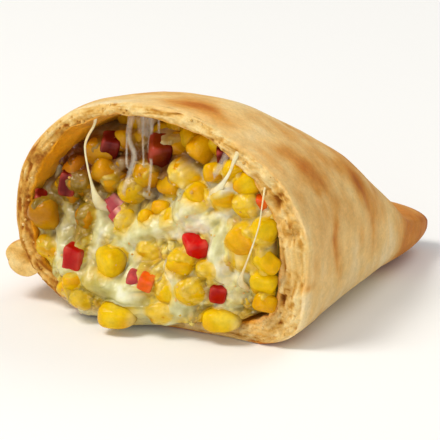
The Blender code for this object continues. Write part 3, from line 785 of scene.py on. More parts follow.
# The kernels that stand out, each as x and z on the cut, how far its middle stands out, how far its crown
# is turned to the right of upright, how far it leans out and how far it is spun about its length, in
# degrees, its size, and how bare of cheese it is
CORN = (
    (-9.8, 13.7, 2, 6, 8, -24, 0.96, 1.2),
    (-5.8, 4.2, 3.6, -84, 6, 80, 1.06, 1.5),
    (16.5, 5, 3.2, -86, 4, 88, 0.98, 1.4),
    (6.7, 16, 1.2, 35, 40, 20, 0.86, 0.9),
    (20.3, 22.9, 1.7, 52, 15, 10, 1.02, 0.8),
    (25.2, 25, 0, 10, 10, 60, 0.86, 0.7),
    (25.6, 18.9, 0.5, 65, 35, 30, 0.84, 0.4),
    (24.9, 13.6, 1, 15, 30, 10, 0.88, 1),
    (25.2, 9.4, 0.8, 50, 50, 40, 0.76, 1),
    (-28.2, 20.6, 2.2, -15, 30, 0, 0.94, 0.8),
    (-18.2, 20.8, 0.5, 8, 10, 80, 0.9, 0.5),
    (-16.5, 34.9, 1.2, 20, 15, 20, 0.88, 0.8),
    (-22, 30.2, 0.6, -30, 25, 50, 0.8, 0.9),
    (-14.9, 31.2, 1, 50, 25, 40, 0.84, 0.9),
    (-24.6, 25.6, 0.4, 60, 40, 20, 0.9, 0.5),
    (-3.5, 23.4, 0.7, 70, 30, 50, 0.56, 0.8),
    (-0.4, 25.6, 0.8, 15, 50, 20, 0.56, 0.9),
    (2.6, 24.2, 0.6, -40, 40, 70, 0.6, 0.8),
    (-4.9, 32, 1, 20, 30, 30, 0.92, 0.6),
    (-8.1, 28, 0.5, -35, 45, 10, 0.84, 0.4),
    (-13, 29.6, 0.2, 25, 30, 60, 0.9, 0.4),
    (5.5, 34, 1.4, -68, 15, 80, 0.98, 0.15),
    (8.7, 29.9, 1, 62, 25, 20, 0.86, 0.9),
    (15, 30.4, 0.9, 25, 30, 40, 0.78, 0.7),
    (12.1, 35.4, 0.6, 55, 35, 70, 0.76, 0.6),
    (9.9, 10.6, 0.9, -20, 40, 20, 0.8, 0.2),
    (3.1, 4.9, 1.1, 40, 45, 60, 0.8, 0.15),
    (-18.2, 8.2, 1.1, 10, 35, 30, 0.62, 0.5),
    (-15.6, 5, 0.8, -60, 20, 50, 0.58, 0.3),
    (-20.6, 6.2, 1, 50, 20, 20, 0.5, 0.5),
    (-27, 13, 1.2, 30, 30, 20, 0.82, 0.4),
    (-2.5, 16.4, -0.1, 60, 40, 40, 0.76, 0.1),
    (-8.4, 21.2, -0.2, -30, 40, 60, 0.74, 0.1),
    (20.6, 29.8, 0.4, -20, 30, 0, 0.84, 0.3),
    (13, 15.4, 0.1, 20, 50, 30, 0.66, 0.1),
    (-20.6, 27.6, 0.4, -10, 40, 10, 0.86, 0.5),
    (-7.8, 36.4, 4.2, -15, 30, 60, 0.96, 1),
    (4.4, 38.8, 1, 60, 30, 40, 0.7, 1),
    (8.4, 39, 6.2, -30, 30, 50, 0.86, 0.9),
    (11.6, 40.6, 2.8, 55, 20, 20, 0.7, 0.7),
    (17.2, 36.6, 1.4, 15, 30, 40, 0.76, 0.7),
    (20.6, 34.6, 1.8, -35, 30, 10, 0.74, 0.6),
    (-9.7, 40.2, 11.3, 10, 20, 40, 0.96, 1),
    (-12.4, 37.6, 8.4, 75, 20, 70, 0.9, 1),
    (-3.9, 38.3, 11, -50, 20, 30, 0.94, 1),
    (3.5, 39.5, 12.4, 35, 15, 60, 0.92, 1),
    (-13.8, 41, 8.9, -30, 30, 20, 0.84, 1),
    (-1.4, 41.4, 10.4, 80, 20, 80, 0.86, 1),
    (-2, 38.4, 8, 20, 20, 30, 0.6, 1),
    (1.6, 38.4, 13, -60, 20, 60, 0.76, 1),
    (-8.2, 37.4, 10.6, 60, 20, 10, 0.8, 1),
    (6.1, 41.7, 11.3, -20, 20, 20, 0.76, 1),
)
# Places of pure cheese, where no further kernel shows
OPEN_CHEESE = ((-13.5, 19), (-14.5, 23.5), (-8.5, 8.6), (-4, 8), (-3.5, 19), (1, 20.8), (14.5, 17.5),
               (15.5, 24), (17.8, 12), (-23, 13), (-23.4, 17.5), (9.5, 25.4), (5, 23.6))
# Further kernels: how many places are tried and in which field of x and z, their least room to the case
# and to each other, and the reach of each value of their rows from the third on
MORE_CORN_TRIES = 1400
MORE_CORN_FIELD = ((-29, 28), (6, 36))
MORE_CORN_ROOM = 3.4
MORE_CORN_CLEARANCE = 5
MORE_CORN = ((-1.4, 0.2), (0, 360), (0, 70), (0, 180), (0.66, 0.9), (0, 0.6))
CORN_SEED = 41


def on_the_cut(x, z):
    """Places in the plane of the cut."""
    return np.stack(np.broadcast_arrays(x, 0 * x, z), axis=-1)


def filling_front(x, z):
    """Depth of the filling's front at each place on the cut.  It comes out over the lip at the bottom,
    leans back towards the roof and the seam side, and goes in at the air pocket under the roof."""
    spill = smoothstep(LIP_LEFT - 6, LIP_LEFT + 4, x) * smoothstep(LIP_RIGHT + 9, LIP_RIGHT - 3, x)
    depth = FACE_DEPTH + FACE_SLOPE * (z - LIP_HEIGHT) * smoothstep(LIP_HEIGHT, 2 * LIP_HEIGHT, z)
    depth = depth + (LIP_FRONT - FACE_DEPTH) * spill * smoothstep(1.5 * LIP_HEIGHT, 0.4 * LIP_HEIGHT, z)
    depth = depth - SIDE_TILT * x * smoothstep(0.5 * LIP_HEIGHT, 2 * LIP_HEIGHT, z)
    across = (x - POCKET_X) / (0.5 * POCKET_WIDTH)
    up = (z - POCKET_Z) / POCKET_DROP
    pocket = smoothstep(1, 0.5, np.hypot(across, np.minimum(up, 0)))
    uneven = FRONT_RIPPLE * ripple(on_the_cut(x, z), FRONT_RIPPLE_LENGTH, SEED + 5)
    return depth + POCKET_DEPTH * pocket + uneven


def set_on_front(rows):
    """The middles of pieces whose rows start with x, z and how far they stand out of the filling."""
    x, z, out = rows[:, :3].T
    return np.stack([x, filling_front(x, z) - out, z], axis=-1)


def about(axis, angle):
    """Rotations about an axis as 3 by 3 matrices: cosines on the diagonal, a sine and its negative off it."""
    first, second = (axis + 1) % 3, (axis + 2) % 3
    turn = np.zeros((3, 3, len(angle)))
    turn[axis, axis] = 1
    turn[first, first] = turn[second, second] = np.cos(angle)
    turn[second, first] = np.sin(angle)
    turn[first, second] = -np.sin(angle)
    return turn


def turned(roll, lean, spin):
    """Rotations that spin pieces about their own upright axis, lean their tops out of the cut and roll them
    to the right in the cut's plane, in radians: the product of the three."""
    return np.einsum("abn,bcn,cdn->nad", about(1, roll), about(0, lean), about(2, spin))


def room_inside(places):
    """How far places lie inside the hollow's outline at their own depth, below 0 where they are outside.
    The angles between the outline's points, seen from a place inside, add up to a full turn."""
    ring = inner_wall(np.maximum(places[:, 1, None], 0), around(96))
    x, z = ring[..., 0] - places[:, 0, None], ring[..., 2] - places[:, 2, None]
    next_x, next_z = np.roll(x, -1, axis=1), np.roll(z, -1, axis=1)
    turns = np.arctan2(x * next_z - z * next_x, x * next_x + z * next_z).sum(axis=1)
    return np.hypot(x, z).min(axis=1) * np.where(np.abs(turns) > math.pi, 1, -1)


# Pepper dice, as x and z on the cut, how far out, roll, lean and spin in degrees, width in mm, how tall
# for its width, and which tint: 0 ripe red, 1 dark red in the shade, 2 pink under cheese, 3 orange,
# 4 a deeper red, 5 orange to red in the shade
DICE = (
    (9.5, 19.8, 1.9, 10, 20, 45, 4.7, 1.05, 0),
    (-18.6, 13.4, 1.4, 14, 8, 4, 4, 1.5, 4),
    (-3.4, 11.2, 1.3, 35, 10, 30, 3.2, 1.2, 2),
    (0.1, 11.8, 1.7, 24, 15, 15, 3.4, 0.95, 3),
    (14.6, 10.6, 1, 14, 15, 25, 3.8, 1.15, 4),
    (-12.6, 24.4, 0.9, -40, 15, 30, 3.6, 1.2, 2),
    (-10.6, 22.4, 1, -48, 5, 10, 3.4, 1.2, 2),
    (-29.4, 23.6, 2.2, 20, 20, 35, 3.2, 1.2, 1),
    (-14.2, 37, 5.4, 25, 20, 30, 4.6, 1.3, 1),
    (-17.6, 33.4, 0.4, 5, 10, 20, 2.8, 1.6, 1),
    (13.8, 39.2, 1.2, 10, 20, 30, 2.8, 1.4, 1),
    (23.4, 30.6, 0.6, 15, 20, 30, 2.4, 1.6, 3),
    (-2.4, 37.2, 11.4, 24, 25, 40, 4.8, 1.5, 5),
    (-23.4, 28.2, 2.4, 12, 10, 20, 3.6, 1.6, 1),
)

corn = np.array(CORN, dtype=float)
dice = np.array(DICE, dtype=float)
draw = np.random.default_rng(CORN_SEED)
tries = np.stack([draw.uniform(*reach, MORE_CORN_TRIES) for reach in MORE_CORN_FIELD], axis=1)
taken = np.concatenate([corn[:, :2], dice[:, :2], OPEN_CHEESE])
for spot in tries:
    place = np.array([[spot[0], float(filling_front(*spot)), spot[1]]])
    clearance = np.hypot(*(taken - spot).T).min()
    if room_inside(place)[0] > MORE_CORN_ROOM and clearance > MORE_CORN_CLEARANCE:
        corn = np.vstack([corn, (*spot, *(draw.uniform(*reach) for reach in MORE_CORN))])
        taken = np.vstack([taken, spot])

corn_middle = set_on_front(corn)
corn_turn = turned(*np.radians(corn[:, 3:6].T))
corn_half = 0.5 * corn[:, 6, None] * (KERNEL_WIDTH, KERNEL_THICKNESS, KERNEL_LENGTH)
corn_half = corn_half * draw.uniform(0.92, 1.08, corn_half.shape)


def kernel_reach(height):
    """Half-width of a kernel of half-size 1 at each height, from its root at -1 to its crown at 1: the root
    of 1 less the height to a power, which makes both ends blunt, narrowed to the root as a wedge."""
    bluntness = np.where(height > 0, *KERNEL_BLUNTNESS)
    girth = np.sqrt(1 - np.minimum(np.abs(height), 1) ** bluntness)
    return girth * (1 - KERNEL_NARROWING + KERNEL_NARROWING * smoothstep(-1, 0.5, height))


def kernel_form():
    """A kernel of half-size 1 each way, as rings from root to crown.  Each ring is a rounded oblong, its
    cosine and sine raised to a low power, and the crown is dimpled by a bell curve."""
    height = -np.cos(np.linspace(0, math.pi, KERNEL_RINGS + 2)[1:-1])[:, None]
    turn = around(KERNEL_SIDES)
    reach = kernel_reach(height)
    x = reach * power(np.cos(turn), KERNEL_SQUARENESS)
    y = reach * power(np.sin(turn), KERNEL_SQUARENESS)
    dimple = KERNEL_DIMPLE * bell(reach, 0.45) * (height > 0)
    return np.stack([x, y, height - dimple + 0 * turn], axis=-1)


def strewn(form, turns, halves, middles, apart, *lumps):
    """Copies of a form of half-size 1, each stretched to its half-sizes, turned, swollen by cloudy noise
    and set on its middle.  The noise is read apart times the middle away, so that no two are alike."""
    local = np.einsum("nab,rsnb->nrsa", turns, form[:, :, None, :] * halves)
    middles = middles[:, None, None, :]
    return local * (1 + cloudy(local + apart * middles, *lumps))[..., None] + middles


def under_the_roof(points):
    """How much painted shade falls on places under the roof, from 0 to 1.  It starts higher up to the right,
    and thins out there and at the top."""
    x, depth, z = np.moveaxis(points, -1, 0)
    start = 24 + 6 * smoothstep(-4, 8, x)
    steam = smoothstep(-0.5, 4, depth) * smoothstep(0, 7, z - start)
    return steam * (1 - 0.3 * smoothstep(3, 9, x)) * (1 - 0.6 * smoothstep(36, 42, z))


def behind_the_rim(points):
    """How far places lie to the left, where the rim keeps the light off, from 0 to 1."""
    return zoned(points, (1, (-9, -21), None, (11, 21)))


kernel = kernel_form()
kernel_rings = strewn(kernel, corn_turn, corn_half, corn_middle, 1, *KERNEL_WRINKLES)

# Lemon yellow at the flanks and a deeper gold at the crown; the cut root is pale.  Over this lies painted
# light and shade: paler tops, darker parts set back in the cheese, and brown under the roof and behind the
# rim.
CORN_CODES = ("#f6de52", "#f0c604", "#e8aa00", "#cc8000")
CORN_STOPS = (0, 0.35, 0.65, 1)
corn_tone = draw.uniform(0, 1, len(corn))[:, None, None]
shade_strength = (0.7 + 0.3 * draw.uniform(0, 1, len(corn)))[:, None, None]
kernel_height = kernel[None, :, :, 2]
from_middle = kernel_rings - corn_middle[:, None, None, :]
lit_from_above = from_middle[..., 2] / corn_half.max(axis=1)[:, None, None]
shade_behind = from_middle[..., 1] / corn_half.min(axis=1)[:, None, None]
# Painted light: each kernel is paler towards its top and deeper gold towards its underside.
corn_share = 0.29 + 0.26 * corn_tone + 0.2 * smoothstep(0.1, 0.9, kernel_height) - 0.18 * lit_from_above
corn_share = corn_share + cloudy(kernel_rings, (0.3, 3, 61, 2))
corn_tint = stained(
    tinted(corn_share, CORN_CODES, CORN_STOPS),
    ("#f2e39c", 0.45 * smoothstep(-0.55, -0.95, kernel_height)),
    # Painted shade on the parts of each kernel set back into the cheese.
    ("#7e5606", 0.8 * smoothstep(-0.5, 0.5, shade_behind)),
    # Painted shade under the roof and behind the rim, stronger on some kernels than others.
    ("#a45a08", 0.9 * shade_strength * under_the_roof(kernel_rings)),
    ("#a45806", 0.8 * shade_strength * behind_the_rim(kernel_rings)),
)

# Cooked sweet corn: a thin tight skin over juicy flesh, so light goes in and glows, and the skin shines
cooked_corn = food_material(
    "cooked_sweet_corn",
    tones=((2, 0.16), (0.7, 0.12)),
    bumps=((1.4, 0.14), (0.5, 0.07)),
    Roughness=0.15,
    IOR=1.42,
    Specular_IOR_Level=0.2,
    Subsurface_Weight=0.2,
    Subsurface_Radius=(0.0016, 0.0012, 0.0001),
)
kernels = mesh_piece("sweet_corn", kernel_rings, corn_tint, [cooked_corn])
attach(kernels, "root")

# The mashed corn
# Broken kernels and their flesh, crushed when the corn was ground for the filling: small soft scraps,
# from pale cream to yellow, that fill the gaps between the whole kernels.
MASH_COUNT = 460
MASH_RINGS = 4
MASH_SIDES = 8
MASH_HALF = (0.5, 1.5)
MASH_STRETCH = (0.65, 1.2)
MASH_LUMPS = (0.25, 1.4, 64, 2)
# Where scraps are tried along x and z, and how many, and where more or fewer of them are kept
MASH_FIELD = ((-29, 27), (1.5, 35))
MASH_TRIES = 6 * MASH_COUNT
MASH_ROOM = 0.6
MASH_ZONES = ((0.5, None, None, (24, 12)), (-2, (15, 18), None, (10, 7)))
MASH_CODES = ("#dcae0c", "#e6c740", "#eadd94")


def ball(rings, sides, squareness=1):
    """A ball of half-size 1 as rings from pole to pole, with its cosines and sines raised to a power: 1
    leaves it round, and a low one swells it out to a soft-edged block."""
    climb = np.linspace(-0.5 * math.pi, 0.5 * math.pi, rings + 2)[1:-1, None]
    turn = around(sides)
    girth = power(np.cos(climb), squareness)
    x, y = girth * power(np.cos(turn), squareness), girth * power(np.sin(turn), squareness)
    return np.stack([x, y, power(np.sin(climb), squareness) + 0 * turn], axis=-1)


mash_x, mash_z = (draw.uniform(*reach, MASH_TRIES) for reach in MASH_FIELD)
mash_y = filling_front(mash_x, mash_z) + draw.uniform(-0.9, 0.6, MASH_TRIES)
mash_middle = np.stack([mash_x, mash_y, mash_z], axis=-1)
mash_wanted = cloudy(on_the_cut(mash_x, mash_z), (1, 9, 73)) + zoned(mash_middle, *MASH_ZONES)
fits = (room_inside(mash_middle) > MASH_ROOM) & (mash_wanted > draw.uniform(-0.5, 0.5, MASH_TRIES))
mash_middle = mash_middle[fits][:MASH_COUNT]
found = len(mash_middle)
mash_half = draw.uniform(*MASH_HALF, (found, 1)) * draw.uniform(*MASH_STRETCH, (found, 3))
mash_turn = turned(*draw.uniform(0, 2 * math.pi, (3, found)))
mash_rings = strewn(ball(MASH_RINGS, MASH_SIDES), mash_turn, mash_half, mash_middle, 5, MASH_LUMPS)
mash_share = draw.uniform(0, 0.9, (found, 1, 1)) + cloudy(mash_rings, (0.2, 1.2, 65))
# Painted shade browns the scraps under the roof and behind the rim.
mash_tint = stained(
    tinted(mash_share, MASH_CODES),
    ("#8a4c0a", 0.9 * under_the_roof(mash_rings)),
    ("#8a5c10", 0.75 * behind_the_rim(mash_rings)),
)
mash = mesh_piece("mashed_corn", mash_rings, mash_tint, [cooked_corn])
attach(mash, "root")

# The red pepper
# Dice of sweet pepper, cut with a knife: one side keeps its shiny skin and the rest is wet flesh.  The
# edges have softened in the oven, and some dice are pink under a film of cheese.
DIE_RINGS = 20
DIE_SIDES = 28
DIE_SQUARENESS = 0.32
DIE_SKEW = (0.16, 4, 62)
PEPPER_CODES = ("#cf0002", "#5e0402", "#b4424a", "#f06000", "#b00602", "#7e2a04")
FLESH_CODES = ("#c01208", "#6e1008", "#e6b0a4", "#f0832c", "#ae1408", "#5a0e04")

dice_middle = set_on_front(dice)
dice_turn = turned(*np.radians(dice[:, 3:6].T))
dice_half = 0.5 * dice[:, 6, None] * draw.uniform(0.9, 1.1, (len(dice), 3))
dice_half[:, 2] *= dice[:, 7]
die = ball(DIE_RINGS, DIE_SIDES, DIE_SQUARENESS)
die_rings = strewn(die, dice_turn, dice_half, dice_middle, 7, DIE_SKEW)
# The flesh shows on one side of each die, and the edges are lighter, partly paler flesh at the cut corners
# and partly painted highlight
kind, kinds = dice[:, 8, None, None], range(len(PEPPER_CODES))
flesh = smoothstep(0.2, 0.9, die[None, :, :, 0] + cloudy(die_rings, (0.7, 1.5, 63, 2)))
edge_highlight = smoothstep(1.9, 2.5, np.abs(die[None]).sum(axis=-1) + cloudy(die_rings, (0.3, 1.2, 67)))
roof_shade = under_the_roof(die_rings)
pepper_tint = mixed(tinted(kind, PEPPER_CODES, kinds), tinted(kind, FLESH_CODES, kinds), flesh)
# Under the roof the dice are darkened by painted shade and lose their lighter edges.
pepper_tint = stained(pepper_tint, ("#e85c48", 0.45 * edge_highlight * (1 - roof_shade)), ("#440402", 0.6 * roof_shade))
# Sweet pepper, roasted soft: a shiny waxy skin on glassy wet flesh
roast_pepper = food_material(
    "roast_red_pepper",
    tones=((1.2, 0.2),),
    bumps=((0.8, 0.06),),
    Roughness=0.24,
    IOR=1.42,
    Specular_IOR_Level=0.24,
    Subsurface_Weight=0.1,
    Subsurface_Radius=(0.0015, 0.0001, 0.0001),
)
pepper = mesh_piece("red_pepper", die_rings, pepper_tint, [roast_pepper])
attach(pepper, "root")

# The melted cheese
# A mild white cheese that melted round the corn and holds it together.  It climbs the kernels in small
# collars, glazes some of them over, runs in thick streams across the cut and hangs over the bottom lip.
CHEESE_SIDES = 576
FRONT_RINGS = 150
SIDE_RINGS = 12
FRONT_MIDDLE = 21
FILLING_GAP = 0.35
LEAST_DEPTH = 0.8
# How far back the cheese lies between the lumps, more under the roof and less at the lower left
CREVICE_DEPTH = 0.99
CREVICE_ZONES = ((1.7, None, None, (17, 30)), (-2, (-19, -27), None, (30, 21)))
# Where the cheese shrank back from the lower right corner: x and z, how wide along them, and how far
CORNER_RECESS = (22, 4, 6, 3.6, 6)
# The collars: how much larger than its lump each one is, how far off it is still worked out, how steeply it
# runs back, and how far back it lies on a scrap, on a kernel, further on a bare one, and on a die
COLLAR_SWELL = 0.3
COLLAR_REACH = 2.5
COLLAR_SLOPE = 4.5
MASH_SET_BACK = 0.5
CORN_SET_BACK = 0.7
BARE_SET_BACK = 1.3
DICE_SET_BACK = 1.5
COLLAR_BLEND = 0.9
STREAM_BLEND = 1.1
# The film on a kernel: how thick at its foot, how it thins where the kernel stands out, and more where that
# is bare, and how it thickens upwards, where the cheese ran down from
FILM_THICKNESS = 0.32
FILM_THINNING = 0.12
BARE_THINNING = 0.7
FILM_FROM_ABOVE = 0.1
FILM_BLEND = 0.35
SPILL_DROP = 3.9
EDGE_ROUNDS = 12
FAR = 99.0
GRAIN_SPACING = 1.5
GRAIN_HEIGHT = 0.55
GRAIN_TILE = 64
STRAND_RELIEF = 0.28
# The lines along y that find a kernel's front: from where to where about its middle, and in how many steps
FRONT_LINE = (-5.5, 2.5, 41)

# The streams, each a line of (x, z, half-width) on the cut, and how far in front of the filling it rides
STREAMS = (
    (((-16.1, 25.6, 0.8), (-15.3, 22.2, 1.3), (-14.4, 19, 2), (-14.3, 15, 1.6), (-14.2, 11.6, 1.8),
      (-13.2, 9, 2)), 1),
    (((-14.4, 19, 1.8), (-10.5, 19.4, 1.6), (-6.5, 18.6, 1.4)), 0.6),
    (((15.5, 33.9, 0.8), (13.4, 31, 1.2), (10.9, 27.8, 1.4), (7.8, 25.3, 1.7), (3.9, 23.7, 1.8),
      (-0.5, 21.6, 1.9), (-5.1, 19.6, 2.1)), 1.6),
    (((16.4, 33, 0.8), (13.8, 31.2, 1.1), (11.4, 29.6, 1.3), (8.6, 27.8, 1.5), (5.4, 26.2, 1.7)), 2.7),
    (((14.6, 27.4, 1), (11.6, 25, 1.9), (8.2, 23.2, 2), (4.6, 21.4, 1.8)), 1.2),
    (((15.7, 28.4, 1), (15.5, 24.1, 1.4), (14.4, 18.6, 1.9), (15.2, 15, 2.4), (17.5, 12, 2.4)), 1.1),
    (((20.2, 19.1, 1.2), (19.8, 14, 2.6), (18, 9.6, 2.4), (15.3, 7.3, 1.8)), 1),
    (((-28, 29.6, 1), (-26.6, 25.4, 1.3), (-22.6, 20.4, 1.6), (-22.8, 14, 1.9), (-23.8, 8.6, 1.7)), 0.9),
    (((-21.5, 11, 1.4), (-14, 9.6, 2), (-9.4, 8.5, 2.3), (-5.2, 8, 2.5), (-2, 6.2, 2.2),
      (1.4, 5.4, 1.9)), 1.5),
    (((4.3, 15, 1.4), (6.6, 11.8, 1.5), (7, 7.4, 1.7), (5, 3, 2)), 1.1),
    (((10.2, 36, 0.7), (11.7, 32.7, 0.8), (15.6, 27.7, 1.1), (16.7, 24.8, 1.3)), 0.9),
    (((-4.9, 20.7, 1.6), (-3.7, 17.9, 1.5), (-4.4, 14.4, 1.4), (-5.3, 11.4, 1.8)), 0.8),
)


def corner_recess(x, z):
    """How far the cheese shrank back from the lower right corner: a bell curve each way."""
    corner_x, corner_z, wide, tall, deep = CORNER_RECESS
    return deep * bell(x - corner_x, wide) * bell(z - corner_z, tall)


def grains(places, spacing, seed):
    """Round grains packed about as far apart as spacing.  In each square of x and z there is one seeded
    middle, and a place belongs to the nearest of them.  Gives the height, 1 at a middle and 0 halfway to
    the next, and a level from 0 to 1 that each grain has for itself."""
    spots = np.random.default_rng(seed).uniform(0, 1, (GRAIN_TILE, GRAIN_TILE, 3))
    warped_x = (places[..., 0] + 0.5 * clouds(places, 2.2, seed + 1)) / spacing
    warped_z = (places[..., 2] + 0.5 * clouds(places, 2.2, seed + 2)) / spacing
    column, row = np.floor(warped_x).astype(int), np.floor(warped_z).astype(int)
    nearest, level = np.full(warped_x.shape, FAR), np.zeros(warped_x.shape)
    for step_x, step_z in itertools.product((-1, 0, 1), repeat=2):
        spot = spots[(column + step_x) % GRAIN_TILE, (row + step_z) % GRAIN_TILE]
        gap = np.hypot(column + step_x + spot[..., 0] - warped_x, row + step_z + spot[..., 1] - warped_z)
        level = np.where(gap < nearest, spot[..., 2], level)
        nearest = np.minimum(nearest, gap)
    return np.clip(1 - 2 * nearest**2, 0, 1), level


def cheese_base(x, z):
    """The front of the cheese without what lies in it: the filling's front, brought forward at the lower
    left and set back in the lower right corner and up under the roof, with small lumps and pits."""
    places = on_the_cut(x, z)
    depth = filling_front(x, z) + CREVICE_DEPTH + corner_recess(x, z) + zoned(places, *CREVICE_ZONES)
    return depth - 1.5 * np.abs(clouds(places, 2.8, SEED + 70, 2)) + cloudy(places, (0.8, 5.5, 75))


def smooth_min(first, second, reach):
    """The smaller of two values, with the corner rounded where they differ by less than reach."""
    return -smooth_max(-first, -second, reach)


def lump_front(x, z, middle, turn, half):
    """Depth of an ellipsoid's front, by the near root of its quadratic in y.  Outside its outline the
    surface runs back at a steep slope, so that it blends into what is round it."""
    form = turn @ np.diag(half**-2) @ turn.T
    across, up = x - middle[0], z - middle[2]
    square = form[1, 1]
    linear_part = form[0, 1] * across + form[1, 2] * up
    rest = form[0, 0] * across**2 + 2 * form[0, 2] * across * up + form[2, 2] * up**2 - 1
    inside = (linear_part**2 - square * rest) / square
    near = np.sqrt(np.maximum(inside, 0) / square)
    beyond = np.sqrt(np.maximum(1 - inside, 1)) - 1
    return middle[1] - linear_part / square - near + COLLAR_SLOPE * beyond


def kernel_front(x, z, middle, turn, half):
    """Depth of a kernel's front at places on the cut.  A line along y is stepped through the kernel's own
    form, and its first crossing is read off between two steps; it is FAR where the line misses."""
    step = np.linspace(*FRONT_LINE)
    line = np.stack(np.broadcast_arrays(x[:, None] - middle[0], step, z[:, None] - middle[2]), axis=-1)
    across, through, height = np.moveaxis((line @ turn) / half, -1, 0)
    order = 2 / KERNEL_SQUARENESS
    gap = np.abs(across) ** order + np.abs(through) ** order - kernel_reach(height) ** order
    gap = gap + 9 * np.maximum(np.abs(height) - 1, 0)
    first = np.maximum(np.argmax(gap < 0, axis=1), 1)
    row = np.arange(len(x))
    before, after = gap[row, first - 1], gap[row, first]
    share = np.clip(before / np.maximum(before - after, 1e-6), 0, 1)
    front = middle[1] + step[first - 1] + share * (step[1] - step[0])
    return np.where((gap < 0).any(axis=1), front, FAR)


def stream_front(x, z, line, ride):
    """Depth of a stream of cheese along a line: a ridge whose height is a parabola of the distance from
    the line over the half-width.  The line wanders and the half-width swells by noise, and noise drawn
    out along the line gives strands."""
    places = on_the_cut(x, z)
    swell = 1 + cloudy(places, (0.35, 4.4, 78, 2))
    x = x + cloudy(places, (0.7, 3.6, 76, 2))
    z = z + cloudy(places, (0.7, 3.6, 77, 2))
    best = np.full(x.shape, FAR)
    run = 0
    for start, end in zip(line[:-1], line[1:]):
        start, end = np.array(start), np.array(end)
        along = end - start
        length = along[:2] @ along[:2]
        share = np.clip(((x - start[0]) * along[0] + (z - start[1]) * along[1]) / length, 0, 1)
        near_x, near_z = start[0] + share * along[0], start[1] + share * along[1]
        half = (start[2] + share * along[2]) * swell
        gap = np.hypot(x - near_x, z - near_z) / half
        aside = ((x - near_x) * along[1] - (z - near_z) * along[0]) / math.sqrt(length)
        drawn = np.stack([0.2 * (run + share * math.sqrt(length)), aside, 0 * aside], axis=-1)
        run = run + math.sqrt(length)
        ridge = filling_front(near_x, near_z) - ride - 0.8 * half * (1 - gap**2)
        ridge = ridge + STRAND_RELIEF * clouds(drawn, 0.8, SEED + 83)
        best = smooth_min(best, np.minimum(ridge, FAR), 0.8)
    return best


cheese_angle = around(CHEESE_SIDES)


def along_the_case(depth):
    """The cheese's outline at a depth, a small gap inside the case."""
    return inner_wall(depth, cheese_angle, FILLING_GAP + thinning(depth, cheese_angle))


edge_depth = np.full(CHEESE_SIDES, 1.0)
for _ in range(EDGE_ROUNDS):
    edge_x, _, edge_z = along_the_case(edge_depth).T
    wanted = np.maximum(filling_front(edge_x, edge_z) + corner_recess(edge_x, edge_z), LEAST_DEPTH)
    edge_depth = 0.5 * edge_depth + 0.5 * wanted
# Over the bottom lip the edge drops in tongues
edge_x, _, edge_z = along_the_case(edge_depth).T
spilling = smoothstep(LIP_LEFT - 4, LIP_LEFT + 3, edge_x) * smoothstep(12, 6, edge_z)
spilling = spilling * smoothstep(LIP_RIGHT + 4, LIP_RIGHT - 6, edge_x)
tongues = 0.72 + cloudy(on_the_cut(edge_x, 0), (0.4, 6, 72))
brim_z = edge_z - np.minimum(SPILL_DROP * tongues, edge_z - 0.3) * spilling
brim_depth = edge_depth * (1 - spilling) - 0.3 * spilling
front_share = np.linspace(0, 1, FRONT_RINGS + 1)[1:, None] ** 0.8
front_x = edge_x.mean() + (edge_x - edge_x.mean()) * front_share
front_z = FRONT_MIDDLE + (brim_z - FRONT_MIDDLE) * front_share
front_places = on_the_cut(front_x, front_z)
front_y = cheese_base(front_x, front_z)

# Collars round everything that lies in the cheese, then the streams over them, then the grain
lump_middles = np.concatenate([mash_middle, corn_middle, dice_middle])
lump_turns = np.concatenate([mash_turn, corn_turn, dice_turn])
lump_halves = np.concatenate([mash_half, corn_half, 1.05 * dice_half])
lump_set_back = np.repeat([MASH_SET_BACK, CORN_SET_BACK, DICE_SET_BACK], [found, len(corn), len(dice)])
lump_set_back[found : found + len(corn)] += BARE_SET_BACK * corn[:, 7]
for middle, turn, half, set_back in zip(lump_middles, lump_turns, lump_halves, lump_set_back):
    near = np.hypot(front_x - middle[0], front_z - middle[2]) < half.max() + COLLAR_REACH
    lump = lump_front(front_x[near], front_z[near], middle, turn, half + COLLAR_SWELL) + set_back
    front_y[near] = smooth_min(front_y[near], lump, COLLAR_BLEND)
stream_share = np.zeros(front_x.shape)
for line, ride in STREAMS:
    stream = stream_front(front_x, front_z, line, ride)
    stream_share = np.maximum(stream_share, smoothstep(0.3, -0.9, stream - front_y))
    front_y = smooth_min(front_y, stream, STREAM_BLEND)
grain_height, grain_level = grains(front_places, GRAIN_SPACING, SEED + 71)
fine_height, fine_level = grains(front_places, 0.6 * GRAIN_SPACING, SEED + 85)
# How much of the cheese is mashed corn: cloudy, and less up under the roof and in the streams
grained = smoothstep(-0.45, 0.25, clouds(front_places, 7, SEED + 73, 2))
grained = grained * (1 - 0.6 * smoothstep(24, 34, front_z)) * (1 - 0.65 * stream_share)
front_y = front_y - grained * GRAIN_HEIGHT * (grain_height + 0.4 * fine_height)

# The film over each kernel: thick at its foot, gone where it stands well out, and ragged by noise
drape = cloudy(front_places, (0.85, 2.8, 79, 2), (0.425, 1, 87))
under_film = np.full(front_x.shape, FAR)
for middle, turn, half, bare in zip(corn_middle, corn_turn, corn_half, corn[:, 7]):
    near = np.hypot(front_x - middle[0], front_z - middle[2]) < half.max() + 0.5
    skin = kernel_front(front_x[near], front_z[near], middle, turn, half)
    thinned = (FILM_THINNING + BARE_THINNING * bare) * (front_y[near] - skin)
    film = FILM_THICKNESS - thinned + drape[near] + FILM_FROM_ABOVE * (front_z[near] - middle[2])
    coat = np.where(skin < 0.5 * FAR, skin - film, FAR)
    front_y[near] = np.minimum(front_y[near], smooth_min(front_y[near], coat, FILM_BLEND))
    under_film[near] = np.minimum(under_film[near], skin)
film_thickness = under_film - front_y

